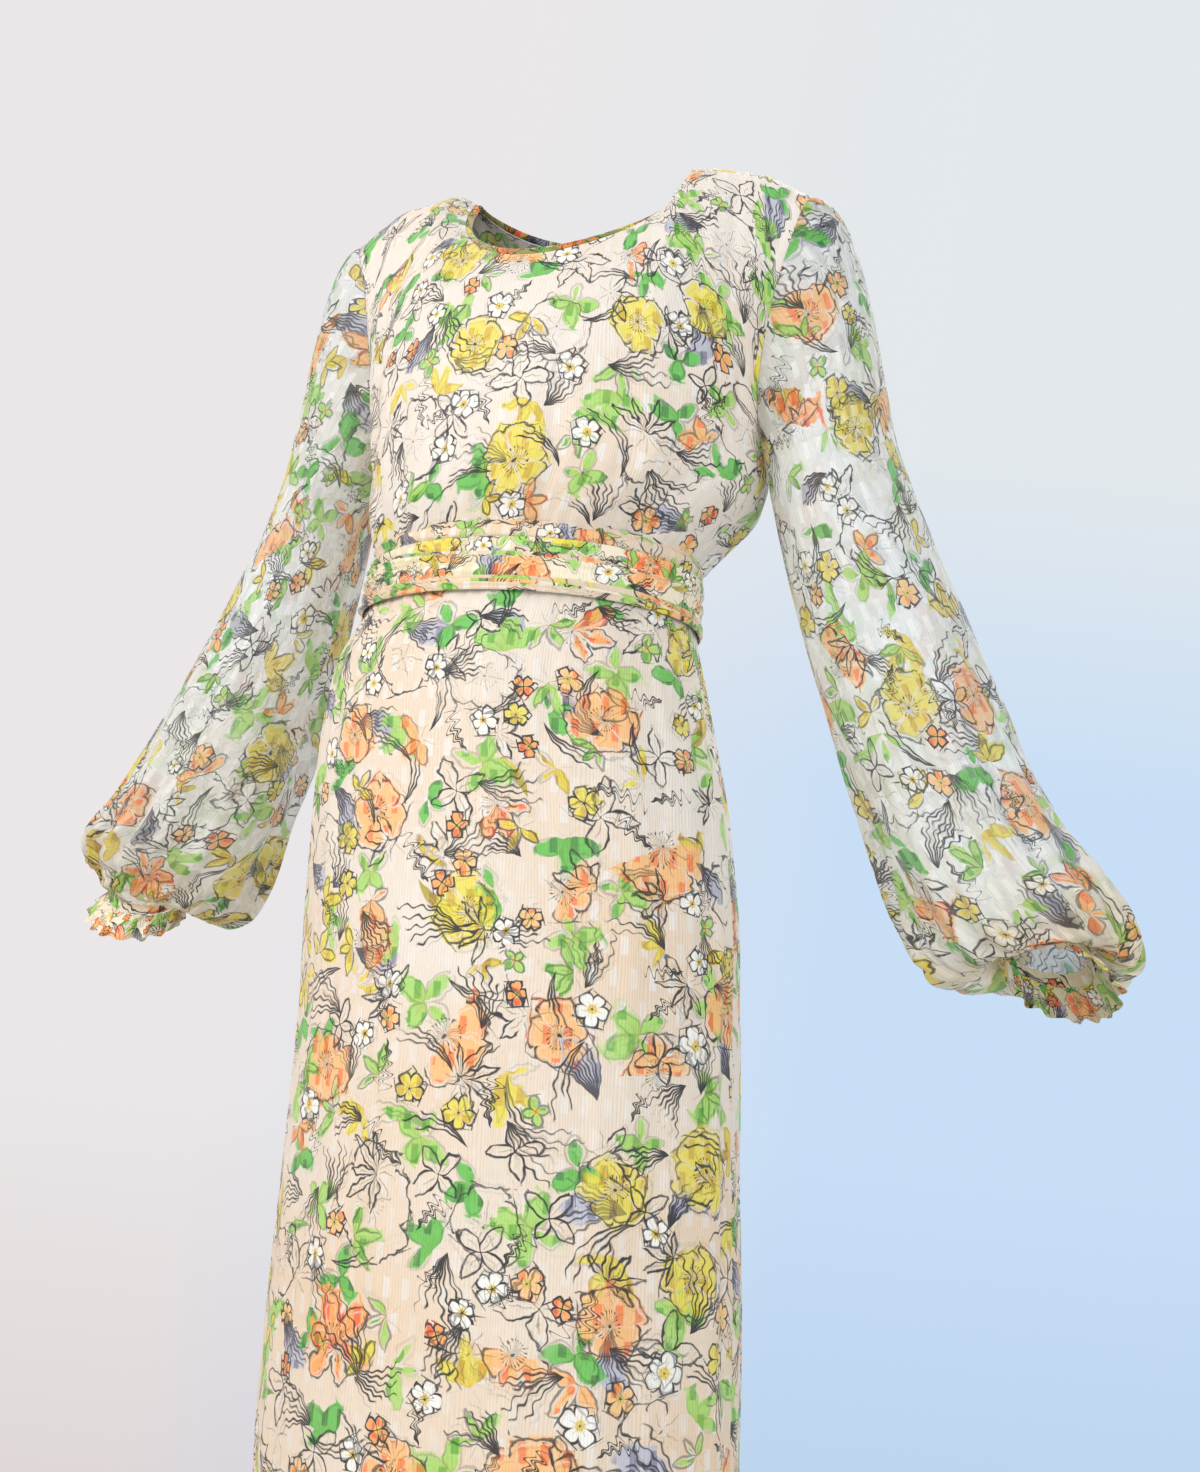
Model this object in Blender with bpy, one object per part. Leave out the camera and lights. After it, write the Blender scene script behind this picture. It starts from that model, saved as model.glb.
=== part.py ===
"""A full-length kaftan with bishop sleeves and a sash, worn on a general figure.

The cloth is a thin wall throughout: a front and a back panel, two long sleeves gathered into
cuffs with small frills, a neck binding, and a sash wound twice round the waist and knotted
behind.  Neck, cuffs and hem are open and the inside is hollow.

Metres.  +X is the wearer's left, the front faces -Y, +Z is up.  The origin lies midway
between the tops of the two shoulder seams, where the shoulders carry the garment.
"""

import math

import bpy
import numpy as np

# ---------------------------------------------------------------- cloth
WALL = 0.0016               # thickness of the cloth wall
SEAM_GAP = 0.0004           # clear space between pieces that are sewn together
LAP_GAP = 0.0006            # clear space between pieces that lie on each other

# ---------------------------------------------------------------- body of the garment
SEAM_Y = 0.010              # the side seams lie this far behind the origin
UNDERARM = -0.235           # height of the underarm
SASH_TOP = -0.320           # upper edge of the sash
SASH_BOTTOM = -0.373        # lower edge of the sash
HEM = -1.400

# One row for each level, hem first.  `sway` is how far the level's middle lies to +X.
LEVEL_COLUMNS = ("height", "half_width", "front", "back", "sway")
LEVELS = (
    (HEM, 0.182, 0.146, 0.148, 0.062),
    (-1.220, 0.175, 0.138, 0.139, 0.056),
    (-1.040, 0.169, 0.131, 0.132, 0.048),
    (-0.950, 0.170, 0.131, 0.132, 0.039),
    (-0.850, 0.169, 0.130, 0.132, 0.033),
    (-0.750, 0.166, 0.128, 0.130, 0.026),
    (-0.650, 0.165, 0.124, 0.127, 0.019),
    (-0.600, 0.166, 0.121, 0.125, 0.014),
    (-0.550, 0.164, 0.118, 0.122, 0.008),
    (-0.500, 0.161, 0.114, 0.119, 0.001),
    (-0.450, 0.154, 0.110, 0.114, -0.006),
    (-0.410, 0.145, 0.106, 0.108, -0.009),
    (SASH_BOTTOM, 0.130, 0.100, 0.101, -0.005),
    (SASH_TOP, 0.128, 0.098, 0.099, -0.004),
    (-0.300, 0.140, 0.107, 0.106, 0.002),
    (-0.280, 0.152, 0.113, 0.110, 0.010),
    (-0.260, 0.158, 0.116, 0.112, 0.012),
    (UNDERARM, 0.160, 0.116, 0.110, 0.011),
)
LEAN_END = -0.100           # the yoke leans from upright at the neck to full sway here

# Soft folds of the body.  `angle` is in degrees round from the wearer's left side seam, with
# the front at 90 and the back at 270; a fold swells from `start` to `end` in height.
# Columns: angle, spread, depth, start, end.
SKIRT_FOLDS = (
    (16, 9, 0.004, -0.390, HEM),
    (44, 10, 0.003, -0.620, HEM),
    (72, 10, 0.003, -0.820, HEM),
    (104, 10, 0.003, -0.900, HEM),
    (133, 9, 0.003, -0.700, HEM),
    (160, 9, 0.004, -0.450, HEM),
    (200, 9, 0.006, -0.420, HEM),
    (226, 10, 0.008, -0.500, HEM),
    (251, 10, 0.007, -0.400, HEM),
    (278, 9, 0.009, -0.440, HEM),
    (303, 10, 0.007, -0.400, HEM),
    (334, 9, 0.006, -0.480, HEM),
)
BODICE_FOLDS = (
    (24, 9, 0.004, UNDERARM, -0.306),
    (58, 9, 0.003, -0.250, -0.306),
    (118, 9, 0.003, -0.245, -0.306),
    (152, 9, 0.004, UNDERARM, -0.306),
    (205, 9, 0.004, UNDERARM, -0.306),
    (236, 9, 0.005, UNDERARM, -0.306),
    (268, 10, 0.004, UNDERARM, -0.306),
    (303, 9, 0.005, UNDERARM, -0.306),
    (334, 9, 0.004, UNDERARM, -0.306),
)

PANEL_COLUMNS = 22          # columns across one panel
NECK_COLUMNS = 12           # the middle ones, which end on the neck
YOKE_ROWS = 8               # rows from the underarm to the shoulder
YOKE_FADE = 1.5             # how fast the armholes' shape fades toward the middle

# ---------------------------------------------------------------- neck, shoulder and armhole
NECK_HALF_WIDTH = 0.095     # to the seam of the binding
NECK_SIDE = (0.005, -0.010)             # y and z of that seam at the top of the shoulder
NECK_FRONT = (-0.082, -0.110)           # y and z of its lowest point in front
NECK_BACK = (0.078, -0.026)             # y and z of its lowest point behind
SHOULDER_RISE = 0.009       # how far the shoulder seam arches
BINDING_WIDTH = 0.006
# Section of the binding: share of its width, and height above the cloth's outer face.
BINDING_SECTION = ((0.12, 0.0003), (0.55, 0.0007), (1.0, -0.0002),
                   (1.0, -0.0016), (0.55, -0.0024), (0.12, -0.0020))

ARMHOLE_TOP = (0.195, -0.002, -0.046)
ARMHOLE_FRONT = (0.170, -0.030, -0.135)
ARMHOLE_UNDER = (0.160, SEAM_Y, UNDERARM)
ARMHOLE_BACK = (0.176, 0.066, -0.135)

# ---------------------------------------------------------------- sleeves
# Each arm's line runs straight from shoulder to wrist but for a small bow at the elbow.  The
# cuff starts at `cuff` along it, `out` from it, and falls by `fall_out` for each metre away from
# the body and by `fall_ahead` for each metre forward.
LEFT_ARM = {"hand": 1, "start": (0.168, -0.002, -0.065), "end": (0.368, 0.084, -0.605),
            "bow": -0.018, "cuff": 0.552, "out": 0.024, "fall_out": 0.64, "fall_ahead": -0.95}
RIGHT_ARM = {"hand": -1, "start": (-0.170, -0.002, -0.065), "end": (-0.389, 0.082, -0.636),
             "bow": -0.040, "cuff": 0.550, "out": 0.010, "fall_out": 0.10, "fall_ahead": 0.50}
SLEEVE_COLUMNS = 48
GATHERS = 16                # folds of each sleeve where it runs into the cuff
CAP_ROWS = 5                # rows between the armhole and the sleeve's first ring
CAP_PULL_TOP = 0.55         # how strongly the cap leaves the shoulder outward
CAP_PULL_UNDER = 0.80       # the same at the underarm, where it leaves downward

# One row for each ring of a sleeve, from the upper arm to the cuff.  `along` is measured down
# the arm's line, `out` moves the ring away from the body, `sag` lets its inner side hang,
# `gather` is the depth of the folds, and `fall_out` and `fall_ahead` tilt it as they tilt a cuff.
RING_COLUMNS = ("along", "half_width", "half_depth", "out", "sag", "gather",
                "fall_out", "fall_ahead")
LEFT_RINGS = (
    (0.200, 0.049, 0.056, 0.000, 0.000, 0.0000, 0.00, 0.00),
    (0.270, 0.054, 0.060, 0.000, 0.000, 0.0000, 0.00, 0.00),
    (0.340, 0.058, 0.065, 0.000, 0.000, 0.0000, 0.00, 0.00),
    (0.405, 0.060, 0.068, 0.000, 0.000, 0.0004, 0.00, 0.00),
    (0.455, 0.061, 0.070, 0.000, 0.000, 0.0010, 0.00, 0.00),
    (0.498, 0.064, 0.072, 0.003, 0.002, 0.0018, 0.00, 0.00),
    (0.530, 0.068, 0.074, 0.007, 0.004, 0.0026, 0.03, -0.04),
    (0.554, 0.069, 0.073, 0.011, 0.008, 0.0032, 0.06, -0.10),
    (0.571, 0.063, 0.064, 0.017, 0.010, 0.0036, 0.13, -0.19),
    (0.572, 0.050, 0.050, 0.022, 0.006, 0.0032, 0.35, -0.52),
    (0.552, 0.034, 0.034, 0.024, 0.000, 0.0022, 0.64, -0.95),
)
RIGHT_RINGS = (
    (0.200, 0.037, 0.047, 0.000, 0.000, 0.0000, 0.00, 0.00),
    (0.270, 0.044, 0.052, 0.000, 0.000, 0.0000, 0.00, 0.00),
    (0.340, 0.051, 0.060, 0.000, 0.000, 0.0000, 0.00, 0.00),
    (0.400, 0.061, 0.068, 0.000, 0.000, 0.0004, 0.00, 0.00),
    (0.450, 0.067, 0.072, 0.000, 0.002, 0.0010, 0.00, -0.02),
    (0.490, 0.069, 0.074, 0.000, 0.004, 0.0018, 0.05, -0.10),
    (0.518, 0.071, 0.074, 0.002, 0.010, 0.0026, 0.16, -0.27),
    (0.536, 0.069, 0.071, 0.005, 0.018, 0.0026, 0.28, -0.42),
    (0.548, 0.058, 0.059, 0.009, 0.020, 0.0020, 0.27, -0.36),
    (0.547, 0.048, 0.048, 0.010, 0.014, 0.0020, 0.17, -0.02),
    (0.550, 0.034, 0.034, 0.010, 0.000, 0.0020, 0.10, 0.50),
)

CUFF_RADIUS = 0.0325
CUFF_LENGTH = 0.010
CUFF_SEGMENTS = 32
FRILL_LENGTH = 0.019
FRILL_FLARE = 0.008         # how much wider the frill is at its edge
FRILL_WAVES = 16
FRILL_WAVE_DEPTH = 0.0045
FRILL_SEGMENTS = 64

# ---------------------------------------------------------------- sash
LAP_WIDTH = 0.040           # the sash is folded to this width
LAP_WALL = 0.0012
LAP_SEGMENTS = 44
KNOT_HALF = (0.019, 0.010, 0.021)       # half width, half depth and half height of the knot
KNOT_SQUARE = 0.6           # below 1 the knot is boxier than an ellipsoid
KNOT_END = 0.55             # width of its flat ends, as a share of its middle
KNOT_SEGMENTS = 16
KNOT_RINGS = 7
TAIL_WIDTH = 0.036
TAIL_TOP_WIDTH = 0.013      # where it leaves the knot
TAIL_HEIGHTS = (-0.368, -0.376, -0.388, -0.410, -0.450, -0.520, -0.620, -0.740, -0.860, -0.960)
TAIL_COLUMNS = 3
TAIL_START = 3.9            # degrees from the centre back to the middle of a tail, at the knot
TAIL_SPLAY = 13.0           # the same once it hangs free
TAIL_BACK_RADIUS = 0.112    # turns widths across the back into angles
TAIL_TOP_LIFT = 0.0105      # how far the tail stands off the skirt at the knot
TAIL_LIFT = 0.0030          # and where it hangs

# ---------------------------------------------------------------- colours
CREAM = (0.86, 0.77, 0.62)
CREAM_BACK = (0.82, 0.72, 0.56)
SHEER = (0.84, 0.82, 0.74)
PEACH = (0.85, 0.66, 0.46)
GREEN = (0.52, 0.62, 0.30)


def column(table, columns, name):
    """One named column of a table, as an array."""
    return np.array([row[columns.index(name)] for row in table], dtype=float)


def smooth(x, xs, ys):
    """Smooth curve through the points (xs, ys), xs rising: cubic Hermite with finite slopes."""
    x = np.clip(np.asarray(x, dtype=float), xs[0], xs[-1])
    slopes = np.gradient(ys, xs)
    index = np.clip(np.searchsorted(xs, x, side="right") - 1, 0, len(xs) - 2)
    span = xs[index + 1] - xs[index]
    t = (x - xs[index]) / span
    return (ys[index] * (2 * t**3 - 3 * t**2 + 1) + ys[index + 1] * (3 * t**2 - 2 * t**3)
            + span * (slopes[index] * (t**3 - 2 * t**2 + t) + slopes[index + 1] * (t**3 - t**2)))


def ease(t):
    """0 to 1 with level ends."""
    t = np.clip(t, 0.0, 1.0)
    return t * t * (3 - 2 * t)


def unit(vectors):
    """The vectors at length one."""
    return vectors / np.maximum(np.linalg.norm(vectors, axis=-1, keepdims=True), 1e-12)


# ================================================================ body
def level(height, name):
    """A named size of the body at a height."""
    return smooth(height, column(LEVELS, LEVEL_COLUMNS, "height"),
                  column(LEVELS, LEVEL_COLUMNS, name))


def fold_lift(angle, height):
    """How far the folds lift the cloth at an angle (radians) and a height."""
    lift = np.zeros(np.broadcast(angle, height).shape)
    for folds, inside in ((SKIRT_FOLDS, height < SASH_BOTTOM), (BODICE_FOLDS, height > SASH_TOP)):
        for degrees, spread, depth, start, end in folds:
            away = (np.degrees(angle) - degrees + 180) % 360 - 180
            swell = ease((height - start) / (end - start)) * inside
            lift = lift + depth * swell * np.exp(-(away / spread) ** 2)
    return lift


def body_points(angle, height, lift=0.0):
    """Points of the body's outer face: x = sway + w cos(angle), y = seam - d sin(angle)."""
    angle, height = np.broadcast_arrays(np.asarray(angle, float), np.asarray(height, float))
    raised = fold_lift(angle, height) + lift
    depth = np.where(np.sin(angle) > 0, level(height, "front"), level(height, "back")) + raised
    x = level(height, "sway") + (level(height, "half_width") + raised) * np.cos(angle)
    y = SEAM_Y - depth * np.sin(angle)
    return np.stack([x, y, height], axis=-1)


def waist_points(angle, height, lift):
    """Points over the waist, where the cloth runs straight between the sash's two edges."""
    angle, height, lift = np.broadcast_arrays(angle, height, lift)
    low = body_points(angle, SASH_BOTTOM, lift)
    high = body_points(angle, SASH_TOP, lift)
    t = (height - SASH_BOTTOM) / (SASH_TOP - SASH_BOTTOM)
    return low + (high - low) * t[..., None]


def lean(points):
    """Yoke points, set out about the middle, moved to +X by the body's sway."""
    moved = points.copy()
    moved[..., 0] += level(UNDERARM, "sway") * ease(points[..., 2] / LEAN_END)
    return moved


def panel_angle(across, side):
    """Angle round the body of a panel's column; across runs from -1 (right) to 1 (left)."""
    if side == "front":
        return math.pi / 2 * (1 - across)
    return math.pi / 2 * (3 + across)


def armhole(turn, hand):
    """Point of an armhole before leaning: turn 0 shoulder, 0.25 front, 0.5 underarm, 0.75 back."""
    top, front, under, back = (np.array(p) for p in
                               (ARMHOLE_TOP, ARMHOLE_FRONT, ARMHOLE_UNDER, ARMHOLE_BACK))
    middle = (top + front + under + back) / 4
    second = (top + under - front - back) / 4
    angle = 2 * math.pi * np.asarray(turn, float)[..., None]
    points = (middle + (top - under) / 2 * np.cos(angle) + (front - back) / 2 * np.sin(angle)
              + second * np.cos(2 * angle))
    return points * np.array([hand, 1.0, 1.0])


def yoke_top(across, side):
    """Upper edge of a panel before leaning: shoulder seam, neck, shoulder seam."""
    share = NECK_COLUMNS / PANEL_COLUMNS
    reach = np.abs(across)
    low_y, low_z = NECK_FRONT if side == "front" else NECK_BACK
    bend = math.pi / 2 * np.clip(reach / share, 0, 1)
    neck = np.stack([NECK_HALF_WIDTH * np.sin(bend),
                     NECK_SIDE[0] + (low_y - NECK_SIDE[0]) * np.cos(bend),
                     NECK_SIDE[1] + (low_z - NECK_SIDE[1]) * np.cos(bend)], axis=-1)
    t = np.clip((reach - share) / (1 - share), 0, 1)[..., None]
    inner = np.array([NECK_HALF_WIDTH, *NECK_SIDE])
    shoulder = inner + (np.array(ARMHOLE_TOP) - inner) * t
    shoulder[..., 2] += SHOULDER_RISE * np.sin(math.pi * t[..., 0])
    edge = np.where(reach[..., None] < share, neck, shoulder)
    edge[..., 0] *= np.sign(across)
    return edge


def over_shoulder(low, high, up, roundness):
    """Path from low to high that turns over as part of an ellipse, all of it at roundness 1."""
    limit = math.pi / 2 * roundness
    upward = np.sin(limit * up) / np.sin(limit)
    inward = (1 - np.cos(limit * up)) / (1 - np.cos(limit))
    return low + (high - low) * np.concatenate([inward, inward, upward], axis=-1)


def yoke_points(across, up, side):
    """Panel above the underarm: a patch between the underarm level, armholes and top edge.

    Each column turns over the shoulder; what the armholes add at the outer columns fades
    to nothing at the middle of the panel.
    """
    base = body_points(panel_angle(across, side), UNDERARM)
    base[..., 0] -= level(UNDERARM, "sway")
    turn = 0.5 * (1 - up) if side == "front" else 0.5 * (1 + up)
    rise = up[..., None]
    roundness = 0.35 + 0.65 * ease(np.abs(across) * PANEL_COLUMNS / NECK_COLUMNS)[..., None]
    columns = over_shoulder(base, yoke_top(across, side), rise, roundness)
    corner = over_shoulder(np.array(ARMHOLE_UNDER), np.array(ARMHOLE_TOP), rise, 1.0)
    left_share, right_share = (np.clip(reach, 0, 1)[..., None] ** YOKE_FADE
                               for reach in (across, -across))
    left = armhole(turn, 1) - corner
    right = armhole(turn, -1) - corner * np.array([-1.0, 1.0, 1.0])
    return lean(columns + right * right_share + left * left_share)


def panel_across():
    """Places of a panel's columns, -1 to 1."""
    return np.linspace(-1, 1, PANEL_COLUMNS + 1)


def panel_grid(side):
    """Outer points of the front or back panel, rows from hem to top, columns right to left."""
    across = panel_across()
    lower = body_points(panel_angle(across[None, :], side),
                        column(LEVELS, LEVEL_COLUMNS, "height")[:, None])
    up = np.linspace(0, 1, YOKE_ROWS + 1)[1:]
    grid_across, grid_up = np.meshgrid(across, up)
    return np.concatenate([lower, yoke_points(grid_across, grid_up, side)])


def directions(grid, axis, closed=False):
    """Sum of the unit steps before and after each point along an axis."""
    if closed:
        step = unit(np.roll(grid, -1, axis=axis) - grid)
        return step + np.roll(step, 1, axis=axis)
    step = unit(np.diff(grid, axis=axis))
    before = np.concatenate([np.take(step, [0], axis=axis), step], axis=axis)
    after = np.concatenate([step, np.take(step, [-1], axis=axis)], axis=axis)
    return before + after


def grid_normals(grid, closed=False):
    """Unit normals of a grid: along its rows crossed with up its columns."""
    return unit(np.cross(directions(grid, 1, closed), directions(grid, 0)))


# ================================================================ sleeves
def arm_line(along, arm):
    """Points of an arm's line, with its outward, forward and downward axes."""
    start, end = np.array(arm["start"]), np.array(arm["end"])
    t = np.asarray(along, float)[..., None] / np.linalg.norm(end - start)
    down = unit(end - start)
    outward = arm["hand"] * unit(np.cross(np.array([0.0, -1.0, 0.0]), down))
    forward = arm["hand"] * np.cross(down, outward)
    bow = arm["bow"] * np.sin(math.pi * np.clip(t, 0, 1))
    return start + (end - start) * t + outward * bow, outward, forward, down


def arm_ring(arm, along, across, ahead, fall_out, fall_ahead):
    """Points across and ahead of the arm's line, on a ring turned to fall as stated."""
    centre, outward, forward, down = arm_line(along, arm)
    slope = np.maximum(np.hypot(fall_out, fall_ahead), 1e-9)
    reach = (across * fall_out + ahead * fall_ahead) / slope
    turned = reach / np.sqrt(1 + slope**2)
    across = across + (turned - reach) * fall_out / slope
    ahead = ahead + (turned - reach) * fall_ahead / slope
    return (centre + across[..., None] * outward + ahead[..., None] * forward
            + (slope * turned)[..., None] * down)


def ring_points(rings, arm, turn):
    """Rings of a sleeve below its cap.  A ring is an ellipse across the arm's line.

    across = out + w cos(angle), ahead = d sin(angle), then lowered by the sag
    """
    angle = 2 * math.pi * turn[None, :]
    along, wide, deep, out, sag, gather, fall_out, fall_ahead = (
        column(rings, RING_COLUMNS, name)[:, None] for name in RING_COLUMNS)
    wave = gather * np.cos(GATHERS * angle)
    points = arm_ring(arm, along, out + (wide + wave) * np.cos(angle),
                      (deep + wave) * np.sin(angle), fall_out, fall_ahead)
    points[..., 2] -= sag * ((1 - np.cos(angle)) / 2) ** 2
    return points


def sleeve_grid(rings, arm):
    """Outer points of a sleeve, rows from the armhole to the cuff.

    The armhole end runs straight between the corners that the panels have there.  The cap is
    a cubic from there to the first ring, leaving outward and arriving down the sleeve.
    """
    turn = np.arange(SLEEVE_COLUMNS) / SLEEVE_COLUMNS
    count = 2 * YOKE_ROWS
    corners = lean(armhole(np.arange(count + 1) / count, arm["hand"]))
    first = np.stack([np.interp(turn * count, np.arange(count + 1), corners[:, axis])
                      for axis in range(3)], axis=-1)
    lower = ring_points(rings, arm, turn)
    _, outward, _, down = arm_line(0.0, arm)
    under = ((1 - np.cos(2 * math.pi * turn)) / 2)[:, None]
    straight = lower[0] - first
    pull = (CAP_PULL_TOP + (CAP_PULL_UNDER - CAP_PULL_TOP) * under)
    pull = pull * np.linalg.norm(straight, axis=-1, keepdims=True)
    leave = unit((outward + 0.45 * down) * (1 - under) + unit(straight) * under) * pull
    arrive = unit(lower[1] - lower[0]) * pull
    t = np.linspace(0, 1, CAP_ROWS + 1)[:-1, None, None]
    cap = (first * (2 * t**3 - 3 * t**2 + 1) + lower[0] * (3 * t**2 - 2 * t**3)
           + leave * (t**3 - 2 * t**2 + t) + arrive * (t**3 - t**2))
    return np.concatenate([cap, lower])


def cuff_grid(arm, lengths, radii, segments, wave_depths=None):
    """Rings round the arm's line below the sleeve, measured from the start of the cuff."""
    angle = 2 * math.pi * np.arange(segments)[None, :] / segments
    along = np.array(lengths)[:, None] + arm["cuff"] + 0 * angle
    radius = np.array(radii)[:, None] + 0 * angle
    if wave_depths is not None:
        radius = radius + np.array(wave_depths)[:, None] * np.cos(FRILL_WAVES * angle)
    return arm_ring(arm, along, arm["out"] + radius * np.cos(angle), radius * np.sin(angle),
                    arm["fall_out"], arm["fall_ahead"])


# ================================================================ making the bodies
def draw_in(grid, top=0.0, bottom=0.0, sides=0.0):
    """Pull the grid's edges back along the cloth by the given lengths."""
    pulled = grid.copy()
    pulled[-1] += unit(grid[-2] - grid[-1]) * top
    pulled[0] += unit(grid[1] - grid[0]) * bottom
    pulled[:, 0] += unit(grid[:, 1] - grid[:, 0]) * sides
    pulled[:, -1] += unit(grid[:, -2] - grid[:, -1]) * sides
    return pulled


def material(name, colour):
    """A plain cloth material."""
    made = bpy.data.materials.new(name)
    made.use_nodes = True
    shader = made.node_tree.nodes["Principled BSDF"]
    shader.inputs["Base Color"].default_value = (*colour, 1.0)
    shader.inputs["Roughness"].default_value = 0.7
    shader.inputs["Metallic"].default_value = 0.0
    return made


def enclosed_volume(points, faces):
    """Volume inside a closed mesh, negative where its faces point in."""
    total = 0.0
    for face in faces:
        first = points[face[0]]
        for second, third in zip(face[1:-1], face[2:]):
            total += first @ np.cross(points[second], points[third])
    return total / 6


def add_object(name, points, faces, colour):
    """One closed body, its faces turned outward, with its own material."""
    if enclosed_volume(points, faces) < 0:
        faces = [face[::-1] for face in faces]
    mesh = bpy.data.meshes.new(name)
    mesh.from_pydata(points.tolist(), [], faces)
    mesh.materials.append(material(name, colour))
    mesh.shade_smooth()
    mesh.set_sharp_from_angle(angle=math.radians(50))
    piece = bpy.data.objects.new(name, mesh)
    bpy.context.collection.objects.link(piece)
    return piece


def add_wall(name, outer, inner, colour, closed=False):
    """A wall between two grids of the same size, closed along its edges."""
    rows, columns = outer.shape[:2]
    steps = columns if closed else columns - 1

    def at(row, step, layer):
        return (layer * rows + row) * columns + step % columns

    faces = []
    for row in range(rows - 1):
        for step in range(steps):
            faces.append((at(row, step, 0), at(row, step + 1, 0),
                          at(row + 1, step + 1, 0), at(row + 1, step, 0)))
            faces.append((at(row, step, 1), at(row + 1, step, 1),
                          at(row + 1, step + 1, 1), at(row, step + 1, 1)))
    last = rows - 1
    for step in range(steps):
        faces.append((at(0, step, 1), at(0, step + 1, 1), at(0, step + 1, 0), at(0, step, 0)))
        faces.append((at(last, step, 0), at(last, step + 1, 0),
                      at(last, step + 1, 1), at(last, step, 1)))
    end = columns - 1
    for row in range(rows - 1):
        if not closed:
            faces.append((at(row, 0, 0), at(row + 1, 0, 0), at(row + 1, 0, 1), at(row, 0, 1)))
            faces.append((at(row, end, 1), at(row + 1, end, 1),
                          at(row + 1, end, 0), at(row, end, 0)))
    points = np.concatenate([outer.reshape(-1, 3), inner.reshape(-1, 3)])
    return add_object(name, points, faces, colour)


def add_loop(name, sections, colour):
    """A ring-shaped body: sections (loop, corner, xyz), closed both ways."""
    loop, corners = sections.shape[:2]

    def at(place, corner):
        return (place % loop) * corners + corner % corners

    faces = [(at(place, corner), at(place + 1, corner),
              at(place + 1, corner + 1), at(place, corner + 1))
             for place in range(loop) for corner in range(corners)]
    return add_object(name, sections.reshape(-1, 3), faces, colour)


def add_capped(name, rings, colour):
    """A solid through rings of points, flat at both ends."""
    count, steps = rings.shape[:2]
    faces = [(row * steps + step, row * steps + (step + 1) % steps,
              (row + 1) * steps + (step + 1) % steps, (row + 1) * steps + step)
             for row in range(count - 1) for step in range(steps)]
    middles = [count * steps, count * steps + 1]
    top = (count - 1) * steps
    for step in range(steps):
        faces.append((middles[0], (step + 1) % steps, step))
        faces.append((middles[1], top + step, top + (step + 1) % steps))
    centres = np.stack([rings[0].mean(axis=0), rings[-1].mean(axis=0)])
    return add_object(name, np.concatenate([rings.reshape(-1, 3), centres]), faces, colour)


# ================================================================ the pieces
def share_normals(first, second):
    """Make two sets of normals along a seam the same."""
    shared = unit(first + second)
    first[...] = shared
    second[...] = shared


def neck_columns():
    """Those of a panel's columns that end on the neck, both ends included."""
    margin = (PANEL_COLUMNS - NECK_COLUMNS) // 2
    return slice(margin, PANEL_COLUMNS - margin + 1)


def panel_shapes():
    """Grids and normals of front and back, the same wherever they meet."""
    grids = {side: panel_grid(side) for side in ("front", "back")}
    normals = {"front": grid_normals(grids["front"]), "back": -grid_normals(grids["back"])}
    below = slice(0, len(LEVELS))
    for edge in (0, -1):
        share_normals(normals["front"][below, edge], normals["back"][below, edge])
    neck = neck_columns()
    for seam in (slice(0, neck.start + 1), slice(neck.stop - 1, None)):
        share_normals(normals["front"][-1, seam], normals["back"][-1, seam])
    return grids, normals


def sleeve_shape(rings, arm):
    """Grid and normals of a sleeve."""
    grid = sleeve_grid(rings, arm)
    return grid, arm["hand"] * grid_normals(grid, closed=True)


def join_armhole(panel_normals, sleeve, sleeve_normals, edge):
    """Give panels and sleeve one wall direction along the armhole, except where they fold back.

    There the sleeve is moved clear of the panels instead.  The armhole is read from the
    shoulder down the front and up the back.
    """
    rows = slice(len(LEVELS) - 1, None)
    body = np.concatenate([panel_normals["front"][rows, edge][::-1],
                           panel_normals["back"][rows, edge][1:]])
    count = 2 * YOKE_ROWS
    step = SLEEVE_COLUMNS // count
    places = np.arange(count + 1)
    own = sleeve_normals[0, places * step % SLEEVE_COLUMNS]
    shared = unit(body + own)
    weight = ease((np.sum(body * own, axis=1) + 0.2) / 0.6)
    joined = unit(body + (shared - body) * weight[:, None])
    panel_normals["front"][rows, edge] = joined[:YOKE_ROWS + 1][::-1]
    panel_normals["back"][rows, edge] = joined[YOKE_ROWS:]
    between = np.arange(SLEEVE_COLUMNS) / step
    shared, body = (np.stack([np.interp(between, places, values[:, axis]) for axis in range(3)],
                             axis=-1) for values in (shared, body))
    weight = np.interp(between, places, weight)[:, None]
    sleeve_normals[0] = unit(sleeve_normals[0] + (shared - sleeve_normals[0]) * weight)
    sleeve[0] += body * SEAM_GAP * (1 - weight)


def add_panels(grids, normals):
    """Front and back, drawn back from the neck binding at the tops of the shoulder seams."""
    neck = neck_columns()
    for side, colour in (("front", CREAM), ("back", CREAM_BACK)):
        grid = draw_in(grids[side], top=SEAM_GAP / 2, sides=SEAM_GAP / 2)
        for corner, neighbour in ((neck.start, neck.start - 1), (neck.stop - 1, neck.stop)):
            grid[-1, corner] += unit(grid[-1, neighbour] - grid[-1, corner]) * SEAM_GAP
        add_wall(side, grid, grid - normals[side] * WALL, colour)


def add_neck_binding(grids, normals):
    """Narrow strip along the neck edge, its section carried round the edge's corners."""
    neck = neck_columns()
    edge = np.concatenate([grids["front"][-1, neck], grids["back"][-1, neck][-2:0:-1]])
    outward = np.concatenate([normals["front"][-1, neck], normals["back"][-1, neck][-2:0:-1]])
    along = unit(np.roll(edge, -1, axis=0) - np.roll(edge, 1, axis=0))
    inward = unit(np.cross(outward, along))
    sections = np.stack([edge + inward * BINDING_WIDTH * share + outward * height
                         for share, height in BINDING_SECTION], axis=1)
    add_loop("neck_binding", sections, GREEN)


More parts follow.
